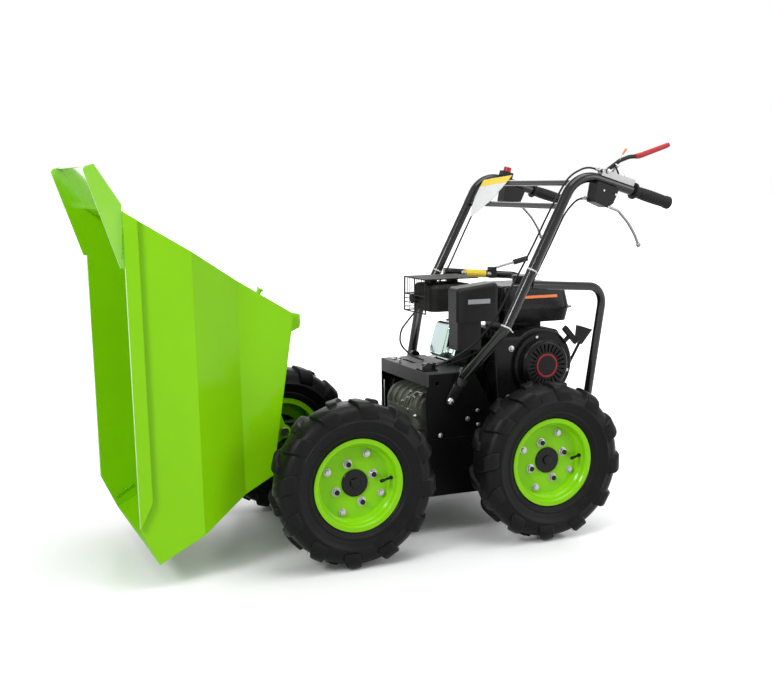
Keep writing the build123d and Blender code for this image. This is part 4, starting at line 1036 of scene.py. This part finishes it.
def make_grip(word, side):
    """One grip spun about the tube's line, with collars and ribs."""
    profile = [
        (grip_bore, 0.0), (collar_radius - 0.0002, 0.0), (collar_radius, 0.0012),
        (collar_radius, 0.0050), (0.0200, 0.0064), (0.0160, 0.0072),
    ]
    for k in range(rib_count):
        share = k / rib_count
        z = 0.012 + 0.088 * share
        swell = 0.0150 + 0.0012 * sin(pi * share)
        valley = swell - rib_rise
        profile += [(swell, z), (swell, z + 0.0052), (valley, z + 0.0066), (valley, z + 0.0088)]
    profile += [
        (0.0158, 0.1035), (0.0166, 0.1060), (0.0166, grip_length - 0.002),
        (0.0150, grip_length), (grip_bore, grip_length),
    ]
    sleeve = bmesh.new()
    points = [(r, 0, z) for r, z in profile]
    spin_outline(sleeve, points, (0, 0, 0), (0, 0, 1), 40, closed=False)
    seat = at(grip_start[0], side * handle_side, grip_start[1])
    whole = bmesh.new()
    add_turned(whole, sleeve, seat, grip_run)
    add_round(whole, seat + grip_run * (grip_length - 0.0016), grip_run, 0.0145, 0.014, 0.0015)
    piece = keep_piece("hand_grip_" + word, whole, grip_rubber, "chassis", smooth=30.0)
    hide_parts("grip_" + word)


make_grip("left", 1)
make_grip("right", -1)


# ---------------------------------------------------------------- controls
# Two lever housings clamped under the handles, bright brake levers, the clutch hand lever
# with its red sleeve in a bright alloy bracket, and the red stop button on the right handle.

dress(moulded_black, "control_box_left", "control_box_right", "gear_lever")
# the polished levers' dark base colour is a painted dark reflection, not the alloy's own tone
alloy_with_painted_dark_reflection = finish_of(
    "polished_lever_alloy", colour=(0.20, 0.20, 0.20), dust=0.03, grain=900.0, depth=0.00003,
    rough=0.14, spread=0.12, worn_and_lit_colour=(0.40, 0.40, 0.40), worn_and_lit_amount=0.2, metallic=1.0,
)
dress(alloy_with_painted_dark_reflection, "lever_bracket", "brake_lever_left", "brake_lever_right")
dress(black_coat, "hand_lever")
dress(moulded_black, "stop_button")
handle_up = Vector((-50.0, 0.0, 168.0)).normalized()
button_top = max(handle_up.dot(v.co) for v in nodes["stop_button"].data.vertices)
button_height = 0.0128
dress_part(
    red_enamel, "stop_button", lambda spot: handle_up.dot(spot) > button_top - button_height
)
rod_front = at(-389, 0, 0).x
rod_rear = at(-447, 0, 0).x
dress_part(alloy_with_painted_dark_reflection, "gear_lever", lambda spot: rod_rear < spot.x < rod_front)


def make_lever_sleeve():
    """Red dipped sleeve over the rear run of the hand lever, following its last bend."""
    shape = bmesh.new()
    stations = [
        ((-541, 965.6), 0.0068), ((-549, 966.6), 0.0072), ((-558, 969.0), 0.0072),
        ((-636, 993.4), 0.0066),
    ]
    for (start, size), (end, next_size) in zip(stations, stations[1:]):
        first = at(start[0], handle_side, start[1])
        run = at(end[0], handle_side, end[1]) - first
        part = bmesh.new()
        bmesh.ops.create_cone(
            part, cap_ends=True, segments=20, radius1=size, radius2=next_size,
            depth=run.length,
        )
        add_turned(shape, part, first, run, run.length / 2)
        knuckle = bmesh.new()
        bmesh.ops.create_uvsphere(knuckle, u_segments=20, v_segments=10, radius=size)
        add_turned(shape, knuckle, first, run)
    piece = keep_piece("hand_lever_sleeve", shape, red_enamel, "chassis", smooth=60.0)


make_lever_sleeve()
sleeved_from = at(-570, 0, 0).x
dress_part(red_enamel, "hand_lever", lambda spot: spot.x < sleeved_from)


def make_lever_lock():
    """Folded lock strip between the hand lever and its bracket, with a wire and tab."""
    shape = bmesh.new()
    strip = [(-471, 948), (-485, 943), (-505, 906), (-491, 908)]
    add_plate(shape, [at(x, 262.5, z) for x, z in strip], 0.0016, (0, 1, 0))
    add_round(shape, at(-479, 264, 941), (0, 1, 0), 0.0042, 0.0036, 0.003, 16)
    add_rod(shape, at(-486, 262, 955), at(-497, 262, 974), 0.0006, 6)
    keep_piece("lever_lock", shape, zinc_plate, "chassis")
    tab = bmesh.new()
    corners = [(-492, 971), (-496, 969), (-508, 983), (-503, 986)]
    add_plate(tab, [at(x, 261.5, z) for x, z in corners], 0.0014, (0, 1, 0))
    keep_piece("lever_lock_tab", tab, orange_band, "chassis")


make_lever_lock()


def make_cable_adjusters():
    """Threaded barrel and locknut where each cable leaves its control."""
    shape = bmesh.new()
    thread_ridges, ridge_step = 5, 0.0013
    # cable start and the next point of its run
    starts = [
        ((-433, 255, 931), (-392, 254, 940)),
        ((-405, 240, 862), (-376, 236, 858)),
        ((-407, -240, 873), (-372, -238, 872)),
    ]
    for start, toward in starts:
        first = at(*start)
        run = (at(*toward) - first).normalized()
        add_rod(shape, first, first + run * 0.016, 0.0034, 16)
        add_hex(shape, first + run * 0.004, run, 0.0056, 0.0036)
        for k in range(thread_ridges):
            ridge = first + run * (0.0092 + ridge_step * k)
            add_rod(shape, ridge, ridge + run * 0.0006, 0.0037, 16)
    piece = keep_piece("cable_adjusters", shape, zinc_plate, "chassis")


make_cable_adjusters()


def make_control_bolts():
    """Pivot bolts and clamp screws of the controls."""
    box_face = 274.0
    # the right box sits further back along the sloping handle
    right_lag, handle_slope = -22, 0.28
    shape = bmesh.new()
    for side in (1, -1):
        outward = Vector((0, side, 0))
        lag = 0 if side > 0 else right_lag
        for x, z, size in ((-432, 880, 3.0), (-467, 869, 3.4), (-446, 838, 3.0)):
            spot = at(x + lag, side * box_face, z + lag * handle_slope)
            add_hex(shape, spot, outward, size / 1000, 0.002, 0.4)
    for side in (1, -1):
        spot = at(-449, handle_side + side * 11, 928)
        add_hex(shape, spot, (0, side, 0), 0.0065, 0.004, 0.2)
    piece = keep_piece("control_bolts", shape, zinc_plate, "chassis")


make_control_bolts()


# ---------------------------------------------------------------- cables and ties
# Sheathed control cables run down the handle tubes to the housing.
# Nylon ties hold them against the tubes.

cable_sheath = finish_of(
    "cable_sheath", colour=(0.0080, 0.0080, 0.0085), drift=0.2, dust=0.05, grain=900.0,
    depth=0.0002, rough=0.30, spread=0.15, worn_and_lit_colour=(0.03, 0.03, 0.03), specular=0.20,
)
tie_nylon = finish_of(
    "tie_nylon", colour=(0.62, 0.62, 0.60), drift=0.15, dust=0.2, grain=700.0, depth=0.0001,
    rough=0.42, spread=0.1, worn_and_lit_colour=(0.7, 0.7, 0.7), worn_and_lit_amount=0.2,
)
dress(cable_sheath, "cable_catch", "cable_drive", "cable_brake")


def make_ties():
    """Narrow nylon bands round the tubes with a short cut tail."""
    shape = bmesh.new()
    tube_run = Vector((-206.0, 0.0, 392.0)).normalized()
    inner, outer, half = 0.0133, 0.0143, 0.0018
    profile = [(inner, 0, -half), (outer, 0, -half), (outer, 0, half), (inner, 0, half)]
    for x, y, z in ((-163, 255, 545), (-236, 255, 684), (-218, -255, 650)):
        band = bmesh.new()
        spin_outline(band, profile, (0, 0, 0), (0, 0, 1), 32)
        spot = at(x, y, z)
        add_turned(shape, band, spot, tube_run)
        side = 1 if y > 0 else -1
        tail = spot + Vector((0, side * 0.0142, 0))
        add_rod(shape, tail, tail + Vector((-0.010, side * 0.004, -0.012)), 0.0014, 6)
    piece = keep_piece("cable_ties", shape, tie_nylon, "chassis")


make_ties()


# ---------------------------------------------------------------- blank plates
# A bare white plate with a yellow top closes the corner between the crossbars and the
# right handle, and a plain yellow band is stuck on the right guard hoop.

plate_white = finish_of(
    "blank_white_plate", colour=(0.72, 0.73, 0.74), drift=0.08, dust=0.15, grain=400.0,
    depth=0.00005, rough=0.34, spread=0.1, worn_and_lit_colour=(0.6, 0.6, 0.6),
)
plate_yellow = finish_of(
    "plain_yellow_band", colour=(0.85, 0.60, 0.01), drift=0.1, dust=0.1, grain=400.0,
    depth=0.00005, rough=0.34, spread=0.1, worn_and_lit_colour=(0.8, 0.7, 0.3),
)


def make_corner_plate():
    """White plate on the front of the crossbars' right ends, with a yellow top strip."""
    up_plate = Vector((-38.0, 0.0, 58.0)).normalized()
    out_plate = Vector((58.0, 0.0, 38.0)).normalized()
    corner = at(-324, 0, 842) + out_plate * 0.0088
    # distance up the plate and across the machine
    lower = [(-52, -183), (-21, -206), (16, -222), (50, -228), (66, -85), (4, -117)]
    upper = [(50, -228), (74, -228), (89, -77), (66, -85)]
    for name, outline, material in (
        ("corner_plate", lower, plate_white),
        ("corner_plate_band", upper, plate_yellow),
    ):
        shape = bmesh.new()
        corners = [corner + up_plate * u / 1000 + Vector((0, y / 1000, 0)) for u, y in outline]
        add_plate(shape, corners, 0.0012, out_plate)
        keep_piece(name, shape, material, "chassis")


make_corner_plate()


def make_hoop_band():
    """Yellow band round the right hoop's top run, with a bolt at each side of it."""
    start = at(-286, -212, 644)
    end = at(-352, -216, 639)
    shape = bmesh.new()
    add_rod(shape, start, end, 0.0114, 28)
    piece = keep_piece("hoop_band", shape, plate_yellow, "chassis")
    bolts = bmesh.new()
    outward = (0.25, 1, 0.1)
    for x, y, z in ((-277, -201.5, 646), (-363, -206.5, 638)):
        add_round(bolts, at(x, y, z), outward, 0.0066, 0.0066, 0.0012, 20)
        add_hex(bolts, at(x, y + 1, z), outward, 0.0050, 0.0038, 0.5)
    keep_piece("hoop_bolts", bolts, zinc_plate, "chassis")


make_hoop_band()
